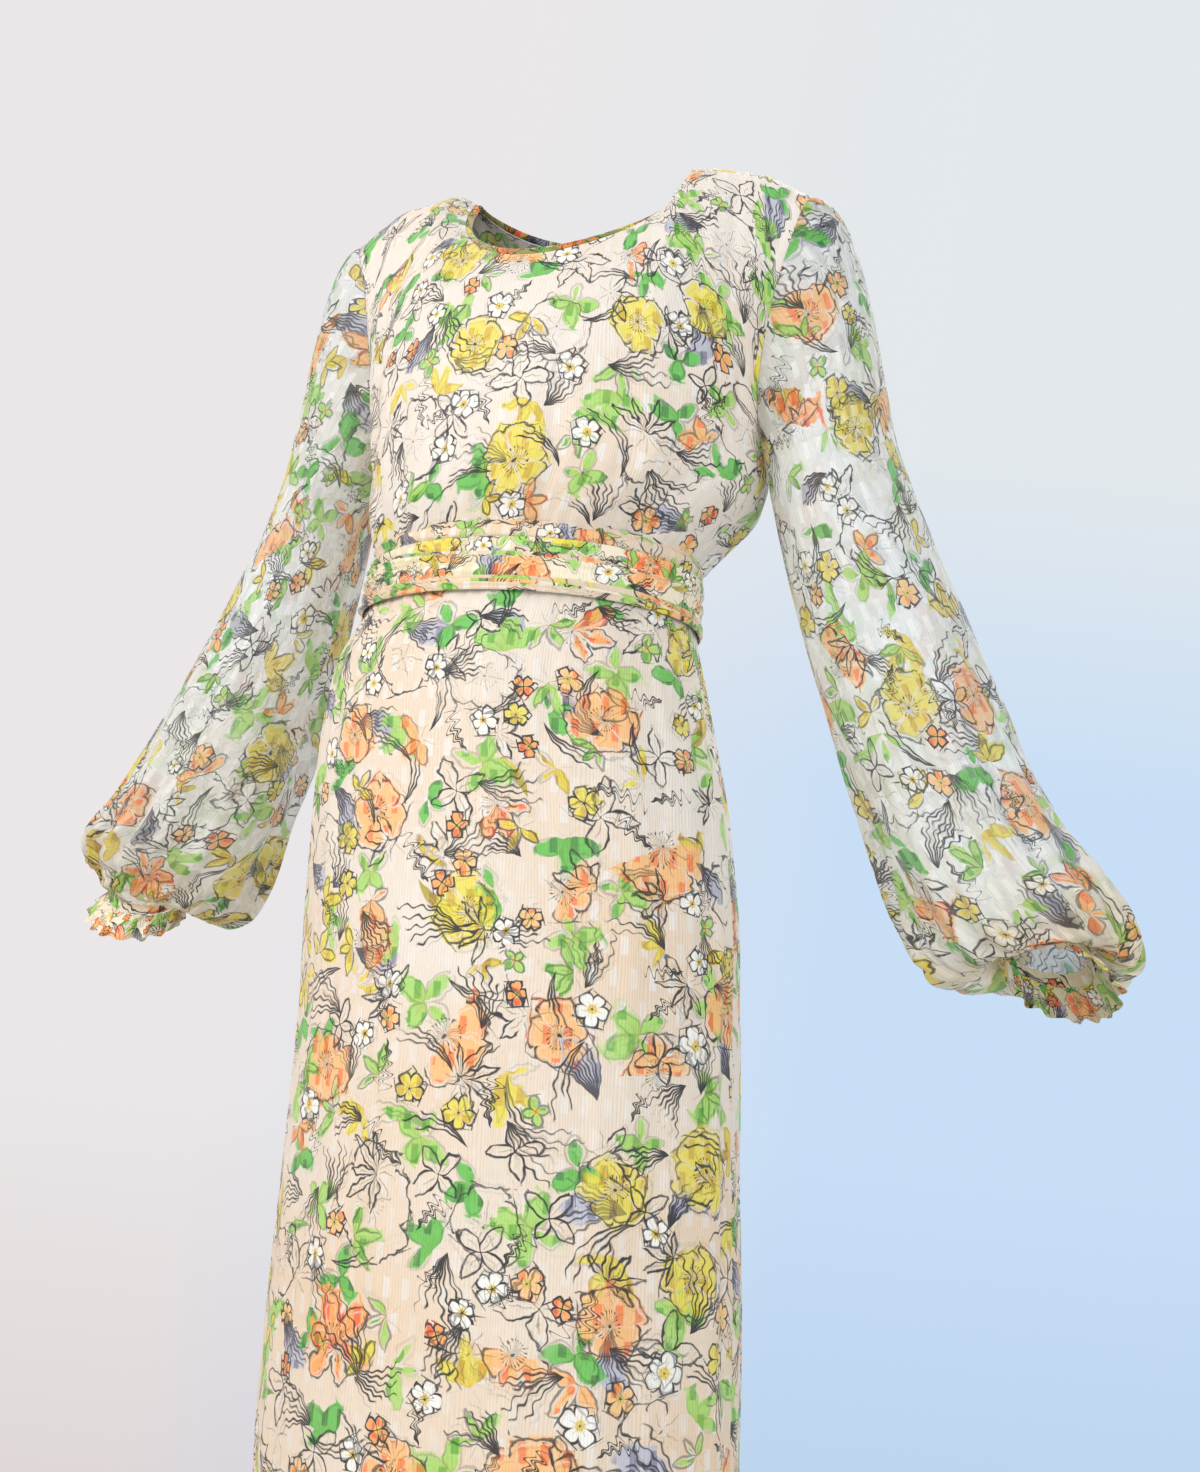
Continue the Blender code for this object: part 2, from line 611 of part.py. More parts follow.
def add_sleeve(name, grid, normals):
    """One sleeve, from the armhole to the cuff."""
    grid = draw_in(grid, top=SEAM_GAP / 2, bottom=SEAM_GAP / 2)
    add_wall(name, grid, grid - normals * WALL, SHEER, closed=True)


def add_cuff(side, arm):
    """Casing of one cuff, and the frill below it."""
    lengths = np.array([0, CUFF_LENGTH]) + SEAM_GAP
    outer, inner = (cuff_grid(arm, lengths, (radius, radius), CUFF_SEGMENTS)
                    for radius in (CUFF_RADIUS, CUFF_RADIUS - WALL))
    add_wall(f"cuff_{side}", outer, inner, PEACH, closed=True)
    lengths = np.array([0, 0.5, 1]) * FRILL_LENGTH + CUFF_LENGTH + 2 * SEAM_GAP
    radii = CUFF_RADIUS + np.array([0, 0.4, 1]) * FRILL_FLARE
    depths = np.array([0.2, 0.7, 1]) * FRILL_WAVE_DEPTH
    outer, inner = (cuff_grid(arm, lengths, radii - back, FRILL_SEGMENTS, depths)
                    for back in (0, WALL))
    add_wall(f"cuff_frill_{side}", outer, inner, PEACH, closed=True)


def add_sash():
    """Two laps of the sash, the second a little lower and over the first."""
    angle = 2 * math.pi * np.arange(LAP_SEGMENTS)[None, :] / LAP_SEGMENTS
    under_lift = LAP_GAP + LAP_WALL
    over_lift = 2 * under_lift
    under_bottom = SASH_TOP - LAP_WIDTH
    laps = (("sash_under_lap", (SASH_TOP, SASH_TOP - LAP_WIDTH / 2, under_bottom),
             (under_lift, under_lift, under_lift)),
            ("sash_over_lap", (SASH_BOTTOM + LAP_WIDTH, SASH_BOTTOM + LAP_WIDTH / 2,
                               under_bottom - LAP_GAP, SASH_BOTTOM),
             (over_lift, over_lift, over_lift, under_lift)))
    for name, heights, lifts in laps:
        heights, lifts = np.array(heights)[:, None], np.array(lifts)[:, None]
        outer = waist_points(angle, heights, lifts)
        inner = waist_points(angle, heights, lifts - LAP_WALL)
        add_wall(name, outer, inner, GREEN, closed=True)


def knot_centre():
    """Middle of the knot: it lies on the laps at the centre back."""
    height = (SASH_TOP + SASH_BOTTOM) / 2
    lift = 2 * (LAP_GAP + LAP_WALL) + LAP_GAP + KNOT_HALF[1]
    return waist_points(math.pi * 1.5, height, lift)


def add_knot():
    """The knot, a squared ellipsoid with flat ends above and below."""
    def power(value):
        return np.sign(value) * np.abs(value) ** KNOT_SQUARE

    turn = 2 * math.pi * np.arange(KNOT_SEGMENTS)[None, :] / KNOT_SEGMENTS
    tilt = math.pi * (np.arange(KNOT_RINGS)[:, None] / (KNOT_RINGS - 1) - 0.5)
    around = KNOT_END + (1 - KNOT_END) * power(np.cos(tilt))
    shape = np.stack([around * power(np.cos(turn)), around * power(np.sin(turn)),
                      np.sin(tilt) + 0 * turn], axis=-1)
    points = knot_centre() + shape * np.array(KNOT_HALF)
    add_capped("sash_knot", points, GREEN)


def tail_points(place, sideways, lift):
    """Points of a tail: place 0 at the knot to 1 at its end, sideways in metres.

    It leaves the knot standing off the skirt and then lies on it.
    """
    heights = np.array(TAIL_HEIGHTS)[:, None]
    fall = (heights[0, 0] - heights) / (heights[0, 0] - heights[-1, 0])
    away = TAIL_START + (TAIL_SPLAY - TAIL_START) * ease(fall * 6)
    width = TAIL_TOP_WIDTH + (TAIL_WIDTH - TAIL_TOP_WIDTH) * ease(fall * 6)
    angle = math.pi * 1.5 - place * np.radians(away) + sideways * width / TAIL_BACK_RADIUS
    stand = TAIL_LIFT + (TAIL_TOP_LIFT - TAIL_LIFT) * (1 - ease(fall * 8))
    return body_points(angle, heights, stand + lift)


def add_tails():
    """The two ends of the sash, hanging side by side down the back of the skirt."""
    sideways = np.linspace(-0.5, 0.5, TAIL_COLUMNS + 1)[None, :]
    for side, place in (("left", -1), ("right", 1)):
        outer = tail_points(place, sideways, LAP_WALL)
        inner = tail_points(place, sideways, 0.0)
        add_wall(f"sash_tail_{side}", outer, inner, GREEN)


def main():
    """Clear the scene and build every piece."""
    for old in list(bpy.data.objects):
        bpy.data.objects.remove(old, do_unlink=True)
    grids, normals = panel_shapes()
    for side, rings, arm, edge in (("left", LEFT_RINGS, LEFT_ARM, -1),
                                   ("right", RIGHT_RINGS, RIGHT_ARM, 0)):
        sleeve, sleeve_normals = sleeve_shape(rings, arm)
        join_armhole(normals, sleeve, sleeve_normals, edge)
        add_sleeve(f"sleeve_{side}", sleeve, sleeve_normals)
        add_cuff(side, arm)
    add_panels(grids, normals)
    add_neck_binding(grids, normals)
    add_sash()
    add_knot()
    add_tails()


if __name__ == "__main__":
    main()
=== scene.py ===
"""Looks of a full-length kaftan in printed silk chiffon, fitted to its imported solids.

Every cloth piece is a fine surface on the form of its solid, with a flat pattern of its own
(the UV map, in metres of cloth).  The flower print is laid out on that pattern in code: each
face carries, as corner attributes, its place inside the flower, leaf or spray that covers it,
and the material draws the shape from there.
"""

import math

import bpy
import numpy as np
from mathutils import Matrix


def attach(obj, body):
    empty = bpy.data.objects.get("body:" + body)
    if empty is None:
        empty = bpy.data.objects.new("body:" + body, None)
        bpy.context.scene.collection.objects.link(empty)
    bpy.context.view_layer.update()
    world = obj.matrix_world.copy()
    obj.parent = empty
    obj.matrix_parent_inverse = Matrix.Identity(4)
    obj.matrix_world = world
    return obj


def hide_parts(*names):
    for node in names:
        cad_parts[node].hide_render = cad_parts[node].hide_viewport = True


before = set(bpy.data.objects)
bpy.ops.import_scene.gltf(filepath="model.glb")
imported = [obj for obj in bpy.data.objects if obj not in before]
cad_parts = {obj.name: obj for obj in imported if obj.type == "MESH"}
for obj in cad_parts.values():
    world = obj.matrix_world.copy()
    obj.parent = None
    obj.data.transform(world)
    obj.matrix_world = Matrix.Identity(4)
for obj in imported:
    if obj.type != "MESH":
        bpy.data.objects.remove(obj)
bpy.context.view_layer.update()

bl_info = {
    "name": "Printed chiffon kaftan",
    "version": (1, 0, 0),
    "blender": (4, 5, 0),
    "location": "View3D > Sidebar > Kaftan",
    "description": "Dresses the packed kaftan in printed silk chiffon",
    "category": "Object",
}

# ---------------------------------------------------------------- form, as in the solids
SEAM_Y = 0.010
UNDERARM = -0.235
SASH_TOP = -0.320
SASH_BOTTOM = -0.373
HEM = -1.400
LEAN_END = -0.100
LEVEL_COLUMNS = ("height", "half_width", "front", "back", "sway")
LEVELS = (
    (HEM, 0.182, 0.146, 0.148, 0.062),
    (-1.220, 0.175, 0.138, 0.139, 0.056),
    (-1.040, 0.169, 0.131, 0.132, 0.048),
    (-0.950, 0.170, 0.131, 0.132, 0.039),
    (-0.850, 0.169, 0.130, 0.132, 0.033),
    (-0.750, 0.166, 0.128, 0.130, 0.026),
    (-0.650, 0.165, 0.124, 0.127, 0.019),
    (-0.600, 0.166, 0.121, 0.125, 0.014),
    (-0.550, 0.164, 0.118, 0.122, 0.008),
    (-0.500, 0.161, 0.114, 0.119, 0.001),
    (-0.450, 0.154, 0.110, 0.114, -0.006),
    (-0.410, 0.145, 0.106, 0.108, -0.009),
    (SASH_BOTTOM, 0.130, 0.100, 0.101, -0.005),
    (SASH_TOP, 0.128, 0.098, 0.099, -0.004),
    (-0.300, 0.140, 0.107, 0.106, 0.002),
    (-0.280, 0.152, 0.113, 0.110, 0.010),
    (-0.260, 0.158, 0.116, 0.112, 0.012),
    (UNDERARM, 0.160, 0.116, 0.110, 0.011),
)
# Columns: angle, spread, depth, start, end.
SKIRT_FOLDS = (
    (16, 9, 0.004, -0.390, HEM), (44, 10, 0.003, -0.620, HEM), (72, 10, 0.003, -0.820, HEM),
    (104, 10, 0.003, -0.900, HEM), (133, 9, 0.003, -0.700, HEM), (160, 9, 0.004, -0.450, HEM),
    (200, 9, 0.006, -0.420, HEM), (226, 10, 0.008, -0.500, HEM), (251, 10, 0.007, -0.400, HEM),
    (278, 9, 0.009, -0.440, HEM), (303, 10, 0.007, -0.400, HEM), (334, 9, 0.006, -0.480, HEM),
)
BODICE_FOLDS = (
    (24, 9, 0.004, UNDERARM, -0.306), (58, 9, 0.003, -0.250, -0.306),
    (118, 9, 0.003, -0.245, -0.306), (152, 9, 0.004, UNDERARM, -0.306),
    (205, 9, 0.004, UNDERARM, -0.306), (236, 9, 0.005, UNDERARM, -0.306),
    (268, 10, 0.004, UNDERARM, -0.306), (303, 9, 0.005, UNDERARM, -0.306),
    (334, 9, 0.004, UNDERARM, -0.306),
)
NECK_SHARE = 12 / 22
YOKE_FADE = 1.5
NECK_HALF_WIDTH = 0.095
NECK_SIDE = (0.005, -0.010)
NECK_FRONT = (-0.082, -0.110)
NECK_BACK = (0.078, -0.026)
SHOULDER_RISE = 0.009
ARMHOLE_TOP = (0.195, -0.002, -0.046)
ARMHOLE_FRONT = (0.170, -0.030, -0.135)
ARMHOLE_UNDER = (0.160, SEAM_Y, UNDERARM)
ARMHOLE_BACK = (0.176, 0.066, -0.135)

LEFT_ARM = {"hand": 1, "start": (0.168, -0.002, -0.065), "end": (0.368, 0.084, -0.605),
            "bow": -0.018, "cuff": 0.552, "out": 0.024, "fall_out": 0.64, "fall_ahead": -0.95}
RIGHT_ARM = {"hand": -1, "start": (-0.170, -0.002, -0.065), "end": (-0.389, 0.082, -0.636),
             "bow": -0.040, "cuff": 0.550, "out": 0.010, "fall_out": 0.10, "fall_ahead": 0.50}
CAP_PULL_TOP = 0.55
CAP_PULL_UNDER = 0.80
RING_COLUMNS = ("along", "half_width", "half_depth", "out", "sag", "gather",
                "fall_out", "fall_ahead")
LEFT_RINGS = (
    (0.200, 0.049, 0.056, 0.000, 0.000, 0.0000, 0.00, 0.00),
    (0.270, 0.054, 0.060, 0.000, 0.000, 0.0000, 0.00, 0.00),
    (0.340, 0.058, 0.065, 0.000, 0.000, 0.0000, 0.00, 0.00),
    (0.405, 0.060, 0.068, 0.000, 0.000, 0.0004, 0.00, 0.00),
    (0.455, 0.061, 0.070, 0.000, 0.000, 0.0010, 0.00, 0.00),
    (0.498, 0.064, 0.072, 0.003, 0.002, 0.0018, 0.00, 0.00),
    (0.530, 0.068, 0.074, 0.007, 0.004, 0.0026, 0.03, -0.04),
    (0.554, 0.069, 0.073, 0.011, 0.008, 0.0032, 0.06, -0.10),
    (0.571, 0.063, 0.064, 0.017, 0.010, 0.0036, 0.13, -0.19),
    (0.572, 0.050, 0.050, 0.022, 0.006, 0.0032, 0.35, -0.52),
    (0.552, 0.034, 0.034, 0.024, 0.000, 0.0022, 0.64, -0.95),
)
RIGHT_RINGS = (
    (0.200, 0.037, 0.047, 0.000, 0.000, 0.0000, 0.00, 0.00),
    (0.270, 0.044, 0.052, 0.000, 0.000, 0.0000, 0.00, 0.00),
    (0.340, 0.051, 0.060, 0.000, 0.000, 0.0000, 0.00, 0.00),
    (0.400, 0.061, 0.068, 0.000, 0.000, 0.0004, 0.00, 0.00),
    (0.450, 0.067, 0.072, 0.000, 0.002, 0.0010, 0.00, -0.02),
    (0.490, 0.069, 0.074, 0.000, 0.004, 0.0018, 0.05, -0.10),
    (0.518, 0.071, 0.074, 0.002, 0.010, 0.0026, 0.16, -0.27),
    (0.536, 0.069, 0.071, 0.005, 0.018, 0.0026, 0.28, -0.42),
    (0.548, 0.058, 0.059, 0.009, 0.020, 0.0020, 0.27, -0.36),
    (0.547, 0.048, 0.048, 0.010, 0.014, 0.0020, 0.17, -0.02),
    (0.550, 0.034, 0.034, 0.010, 0.000, 0.0020, 0.10, 0.50),
)
# Creases, given as (turn, share) of each end, half width and depth in metres.  Turn 0 is
# the sleeve's outer line and 0.25 its front; share 0 is the cap and 1 the cuff.
RIGHT_CREASES = (
    (0.02, 0.93, 0.42, 0.74, 0.010, -0.0050), (0.08, 0.99, 0.40, 0.84, 0.009, 0.0045),
    (0.30, 0.99, 0.52, 0.80, 0.009, -0.0045), (0.12, 0.78, 0.34, 0.62, 0.012, -0.0030),
    (0.33, 0.20, 0.20, 0.60, 0.012, -0.0035), (0.12, 0.10, 0.08, 0.55, 0.012, 0.0035),
    (0.44, 0.30, 0.36, 0.66, 0.010, 0.0030), (0.21, 0.34, 0.12, 0.72, 0.010, -0.0030),
    (0.60, 0.95, 0.92, 0.76, 0.011, -0.0045), (0.68, 0.30, 0.80, 0.65, 0.012, -0.0035),
    (0.88, 0.12, 0.84, 0.60, 0.012, 0.0030), (0.56, 0.22, 0.62, 0.60, 0.011, -0.0030),
)
LEFT_CREASES = (
    (0.06, 0.97, 0.38, 0.80, 0.010, -0.0050), (0.12, 0.99, 0.44, 0.90, 0.008, 0.0040),
    (0.02, 0.86, 0.22, 0.70, 0.011, -0.0040), (0.30, 0.86, 0.48, 0.68, 0.011, -0.0035),
    (0.30, 0.14, 0.18, 0.56, 0.012, -0.0038), (0.10, 0.10, 0.05, 0.58, 0.012, 0.0035),
    (0.42, 0.26, 0.34, 0.64, 0.010, -0.0030), (0.22, 0.40, 0.12, 0.80, 0.011, 0.0030),
    (0.60, 0.96, 0.90, 0.78, 0.011, -0.0045), (0.70, 0.24, 0.78, 0.62, 0.012, -0.0035),
    (0.90, 0.12, 0.86, 0.58, 0.012, 0.0030), (0.55, 0.30, 0.60, 0.66, 0.011, -0.0030),
)
# The same on the panels: across and height of each end.  Across runs from -1 to 1.
FRONT_CREASES = (
    (-0.86, -0.215, -0.50, -0.315, 0.012, -0.0040), (0.84, -0.210, 0.56, -0.316, 0.012, -0.0042),
    (-0.70, -0.170, -0.62, -0.310, 0.013, 0.0030), (0.66, -0.180, 0.40, -0.318, 0.012, 0.0030),
    (-0.22, -0.235, -0.16, -0.318, 0.010, -0.0022), (0.14, -0.225, 0.20, -0.318, 0.010, -0.0024),
    (-0.90, -0.385, -0.80, -0.560, 0.012, -0.0034), (0.90, -0.385, 0.82, -0.600, 0.012, -0.0036),
    (0.93, -0.640, 0.90, -0.880, 0.009, -0.0028), (0.86, -0.700, 0.88, -1.000, 0.010, 0.0022),
    (-0.94, -0.700, -0.92, -1.050, 0.009, -0.0026), (-0.30, -0.385, -0.28, -0.470, 0.010, -0.0018),
    (0.34, -0.385, 0.30, -0.480, 0.010, -0.0020), (0.94, -1.000, 0.92, -1.300, 0.010, -0.0026),
)
BACK_CREASES = (
    (-0.84, -0.200, -0.40, -0.316, 0.012, -0.0042), (0.84, -0.200, 0.40, -0.316, 0.012, -0.0042),
    (-0.10, -0.200, -0.12, -0.316, 0.012, -0.0034), (0.16, -0.190, 0.12, -0.316, 0.012, 0.0030),
    (-0.60, -0.385, -0.55, -0.700, 0.013, -0.0036), (0.50, -0.385, 0.52, -0.740, 0.013, -0.0036),
    (-0.88, -0.385, -0.84, -0.620, 0.012, -0.0034), (0.90, -0.385, 0.86, -0.640, 0.012, -0.0034),
    (0.04, -0.960, 0.02, -1.300, 0.014, -0.0026), (-0.40, -0.800, -0.44, -1.200, 0.013, -0.0028),
)
CUFF_RADIUS = 0.0325
CUFF_LENGTH = 0.010
FRILL_LENGTH = 0.019
FRILL_FLARE = 0.008

LAP_WIDTH = 0.040
STRIP_WIDTH = 0.0105        # the lower fold of the sash
LAP_GAP = 0.0006
LAP_WALL = 0.0012
KNOT_HALF = (0.019, 0.010, 0.021)
TAIL_WIDTH = 0.036
TAIL_TOP_WIDTH = 0.013
TAIL_TOP = -0.368
TAIL_END = -0.960
LAP_GROOVE = 0.0010
DRAWN_AT = math.pi - 0.35   # where the sash is drawn together, as an angle round the body
DRAWN_SPREAD = 0.55         # radians

BINDING_HALF_WIDTH = 0.0030
BINDING_RISE = 0.0009       # half its thickness
BINDING_CLEAR = 0.0003

# Ripples of the cloth, as (waves across the piece, share, drift along it).
PANEL_CRINKLES = ((9, 0.5, 1.5), (14, 0.45, 2.0), (21, 0.3, 2.5))
PANEL_PLEATS = ((17, 0.7, 0.6), (25, 0.5, 0.9))
PANEL_DRAPE = ((3, 0.6, 1.2), (5, 0.6, 1.6))
SLEEVE_FOLDS = ((5, 0.8, 0.9), (7, 0.8, 1.1), (11, 0.5, 1.4))
SLEEVE_GATHERS = ((19, 0.55, 0.5), (26, 0.5, 0.6), (13, 0.45, 0.7))
SLEEVE_CRINKLES = ((31, 0.5, 1.5), (43, 0.4, 1.8), (23, 0.4, 1.2))
BAND_GATHERS = ((31, 0.5, 0.3), (43, 0.5, 0.4), (24, 0.4, 0.2))
FRILL_WAVES = ((13, 0.6, 0.5), (21, 0.6, 0.7))
LAP_CREASES = ((2.6, 0.6, 0.5), (4.4, 0.5, 0.7), (7.0, 0.35, 0.8))
TAIL_CREASES = ((1.6, 0.7, 0.8), (2.7, 0.5, 1.2))
# How deep they are, in metres; GATHER_SHARE is how much of a ring's stated gathers is used, and
# FRILL_COUNT how many even waves a frill has.
CRINKLE_DEPTH = 0.00045
PLEAT_DEPTH = 0.0011
DRAPE_DEPTH = 0.0008
SEAM_DIP = 0.0006
SLEEVE_FOLD_DEPTH = 0.0026
EARLY_GATHER_DEPTH = 0.0010
GATHER_SHARE = 1.35
SLEEVE_CRINKLE_DEPTH = 0.00035
FRILL_COUNT = 16
FRILL_DEPTH = 0.0040
LAP_CREASE_DEPTH = 0.0012

# Columns and rows of each kind of piece at a fineness of 1.  A panel's rows are those below and
# above the underarm, a sleeve's those of the cap and below it, a cuff's its band's and frill's.
MESH_COUNTS = {
    "panel": (110, 250, 56), "sleeve": (200, 26, 150), "cuff": (224, 14, 22),
    "binding": (150,), "lap": (320, 40), "strip": (320, 12), "knot": (72, 36), "tail": (16, 150),
}

# ---------------------------------------------------------------- the print
# Paints, in screen colours.
PAINTS = {
    "peach": (255, 196, 130), "orange": (255, 172, 94), "yellow": (240, 224, 84),
    "mustard": (228, 206, 66), "leaf": (174, 222, 112), "green": (98, 198, 80),
    "lavender": (198, 198, 214), "grey": (184, 184, 200), "white": (253, 251, 246),
    "apricot": (255, 204, 138),
}
# Radial shapes.  `fat` is the widest half width of a petal and `blunt` how square its tip is
# (low is square); `paint` of None leaves it drawn in ink only.  A size below zero draws only
# the petals of one side.
SHAPE_COLUMNS = ("share", "size", "petals", "fat", "blunt", "paint", "ink", "centre")
FLOWERS = (
    (2.2, 0.0290, 5, 0.46, 0.28, "peach", 1.0, 0.9),
    (2.0, -0.0320, 6, 0.36, 0.30, "peach", 1.0, 0.8),
    (1.8, -0.0330, 7, 0.20, 0.55, "orange", 0.9, 0.7),
    (1.0, 0.0290, 6, 0.22, 0.55, "orange", 0.9, 0.8),
    (2.2, 0.0280, 6, 0.40, 0.26, "yellow", 1.0, 1.0),
    (1.2, -0.0310, 6, 0.20, 0.70, "yellow", 0.9, 0.5),
    (2.2, 0.0330, 5, 0.46, 0.28, None, 1.0, 0.5),
    (1.6, -0.0350, 6, 0.34, 0.35, None, 1.0, 0.4),
)
LEAVES = (
    (3.0, -0.0270, 6, 0.17, 0.70, "leaf", 0.15, 0.0),
    (2.6, 0.0240, 4, 0.24, 0.65, "leaf", 0.35, 0.0),
    (2.2, -0.0260, 5, 0.22, 0.70, "green", 0.25, 0.0),
    (1.4, 0.0220, 3, 0.26, 0.70, "green", 0.40, 0.0),
    (1.6, -0.0270, 7, 0.12, 0.80, "yellow", 0.20, 0.0),
    (1.0, -0.0230, 5, 0.16, 0.75, "mustard", 0.30, 0.0),
)
OUTLINES = (
    (2.4, -0.0300, 7, 0.15, 0.90, None, 1.0, 0.0),
    (1.6, 0.0250, 4, 0.20, 0.80, None, 1.0, 0.0),
    (1.4, -0.0280, 9, 0.09, 0.90, None, 1.0, 0.0),
    (1.6, -0.0240, 6, 0.14, 0.75, "leaf", 0.6, 0.0),
    (1.0, -0.0220, 5, 0.18, 0.75, "yellow", 0.8, 0.0),
    (0.8, -0.0220, 5, 0.20, 0.70, "peach", 0.7, 0.0),
)
BLOSSOMS = (
    (4.0, 0.0125, 5, 0.36, 0.34, "white", 1.0, 0.25),
    (1.6, 0.0110, 5, 0.36, 0.34, "apricot", 1.0, 0.3),
    (0.8, 0.0100, 4, 0.40, 0.32, "orange", 1.0, 0.3),
    (1.4, 0.0115, 5, 0.36, 0.34, "yellow", 1.0, 0.4),
    (0.7, 0.0110, 4, 0.30, 0.60, "leaf", 0.7, 0.2),
)
# Sprays of strokes.  `spread` is how far they fan out, `zigzag` how much each one wavers.
SPRAY_COLUMNS = ("share", "size", "strokes", "bend", "spread", "paint", "ink", "zigzag")
SPRAYS = (
    (2.0, 0.0290, 9, 0.5, 0.50, "lavender", 0.9, 0.5),
    (1.4, 0.0270, 7, -0.6, 0.42, "grey", 1.0, 0.6),
    (2.4, 0.0270, 6, 0.7, 0.55, None, 1.0, 0.8),
    (1.6, 0.0230, 3, -0.5, 0.26, None, 1.0, 3.0),
    (2.0, 0.0300, 3, 0.9, 0.20, None, 1.0, 0.4),
    (1.0, 0.0260, 5, 0.5, 0.28, "mustard", 0.4, 0.4),
    (1.0, 0.0260, 4, 0.8, 0.24, "leaf", 0.4, 0.4),
)
# Each layer: its table and columns, spacing, spacing from earlier layers, and whether it grows
# in clusters.
LAYERS = {
    "bloom0": (FLOWERS, SHAPE_COLUMNS, 1.10, 0.0, False),
    "bloom1": (LEAVES, SHAPE_COLUMNS, 0.90, 0.38, False),
    "bloom2": (BLOSSOMS, SHAPE_COLUMNS, 1.0, 0.74, True),
    "bloom3": (OUTLINES, SHAPE_COLUMNS, 0.78, 0.22, False),
    "spray0": (SPRAYS, SPRAY_COLUMNS, 0.95, 0.34, False),
    "spray1": (SPRAYS[2:5], SPRAY_COLUMNS, 0.70, 0.16, False),
}
DRAWN_ORDER = ("spray0", "bloom1", "bloom0", "bloom3", "spray1", "bloom2")
TRIES_PER_MOTIF = 1.8
LEAST_TRIES = 60
SIZE_SPREAD = (0.80, 1.22)
CLUSTER_LEVEL = 0.15
MOTIF_REACH = 1.12          # how far a motif reaches, in its own radii
LEAST_SIZE = 1e-3
PRINT_MARGIN = 0.02
NO_MOTIF = (5.0, 5.0, 0.02)
PETAL_POWER = 0.75

# ---------------------------------------------------------------- the cloth
NIB = 0.00067               # half width of an ink line, in metres as the next three are
DASH_PITCH = 0.0140
DASH_RISE = 0.0210
RIB_PITCH = 0.0021
BAG_FADE = 0.16             # metres over which a sleeve's gathered look comes in
BLOSSOM_HEART = (236, 206, 60)
# Linear colours.
INK = (0.030, 0.030, 0.034)
# Painted sheen: the pale colour that the satin dashes are lightened toward.
SATIN_SHEEN = (0.98, 0.975, 0.955)
HEART_TINT = (0.95, 0.70, 0.32)
# Painted shade and warm bounce light in a sleeve's gathers, with the deeper colour of folds lying
# over each other.
BAG_SHADE_TINT = (1.0, 0.83, 0.56)

# ---------------------------------------------------------------- the stage
CAMERA_PLACE = (0.565, -1.1355, -0.716)
CAMERA_TURN = 23.6645       # degrees, as the next two are
CAMERA_TIP = 11.7976
CAMERA_ROLL = 5.9665
CAMERA_LENS = 42.49
FLOOR_HEIGHT = -1.43
STAGE_HALF = 4
WALL_TOP = 2.6
WALL_AWAY = 0.95
WALL_ASIDE = 0.1
WORLD_STRENGTH = 0.44
# Columns: name, place, height that it is aimed at, power, size, tint.
LIGHTS = (
    ("key", (-1.5, -1.7, 0.6), -0.5, 49, 1.5, (1.0, 0.96, 0.90)),
    ("fill", (1.7, -1.6, -0.2), -0.7, 33, 1.6, (0.90, 0.95, 1.0)),
    ("behind", (0.3, 0.85, 0.9), -0.5, 15, 1.2, (1.0, 0.96, 0.88)),
)


def srgb(*colour):
    """Linear red, green, blue of a screen colour given from 0 to 255."""
    value = np.array(colour, float) / 255
    linear = np.where(value <= 0.04045, value / 12.92, ((value + 0.055) / 1.055) ** 2.4)
    return tuple(float(part) for part in linear)


def column(table, columns, name):
    """One named column of a table, as an array."""
    return np.array([row[columns.index(name)] for row in table], dtype=float)


def smooth(x, xs, ys):
    """Cubic Hermite curve through the points (xs, ys), xs rising."""
    x = np.clip(np.asarray(x, dtype=float), xs[0], xs[-1])
    slopes = np.gradient(ys, xs)
    index = np.clip(np.searchsorted(xs, x, side="right") - 1, 0, len(xs) - 2)
    span = xs[index + 1] - xs[index]
    t = (x - xs[index]) / span
    return (ys[index] * (2 * t**3 - 3 * t**2 + 1) + ys[index + 1] * (3 * t**2 - 2 * t**3)
            + span * (slopes[index] * (t**3 - 2 * t**2 + t) + slopes[index + 1] * (t**3 - t**2)))


def ease(t):
    """0 to 1 with level ends."""
    t = np.clip(t, 0.0, 1.0)
    return t * t * (3 - 2 * t)


def unit(vectors):
    """The vectors at length one."""
    return vectors / np.maximum(np.linalg.norm(vectors, axis=-1, keepdims=True), 1e-12)


def ripple(x, y, waves, seed):
    """Smooth uneven ripple, about -1 to 1: a sum of sines of x whose phase drifts with y.

    waves lists (waves per unit of x, share, drift per unit of y).
    """
    rng = np.random.default_rng(seed)
    total = 0.0
    for count, share, drift in waves:
        phase, turn = rng.uniform(0, 2 * math.pi, 2)
        total = total + share * np.sin(2 * math.pi * count * x + phase
                                       + drift * np.sin(y * 2.1 * (1 + 0.3 * turn) + turn))
    return total


def creases(table, across, along, width, length):
    """Sum of soft troughs and ridges along lines; width and length turn shares into metres.

    Each is depth exp(-(distance / half width)^2), uneven along its line and fading at its ends.
    """
    total = 0.0
    for start_a, start_b, end_a, end_b, half, depth in table:
        run = np.array([(end_a - start_a) * width, (end_b - start_b) * length])
        here = np.stack(np.broadcast_arrays((across - start_a) * width,
                                            (along - start_b) * length), axis=-1)
        share = np.clip(here @ run / (run @ run), 0, 1)
        away = np.linalg.norm(here - share[..., None] * run, axis=-1)
        uneven = 0.75 + 0.25 * np.sin(9 * share + 40 * start_a)
        total = total + depth * uneven * np.exp(-(away / half) ** 2)
    return total


# ---------------------------------------------------------------- form of the body
def level(height, name):
    """A named size of the body at a height."""
    return smooth(height, column(LEVELS, LEVEL_COLUMNS, "height"),
                  column(LEVELS, LEVEL_COLUMNS, name))


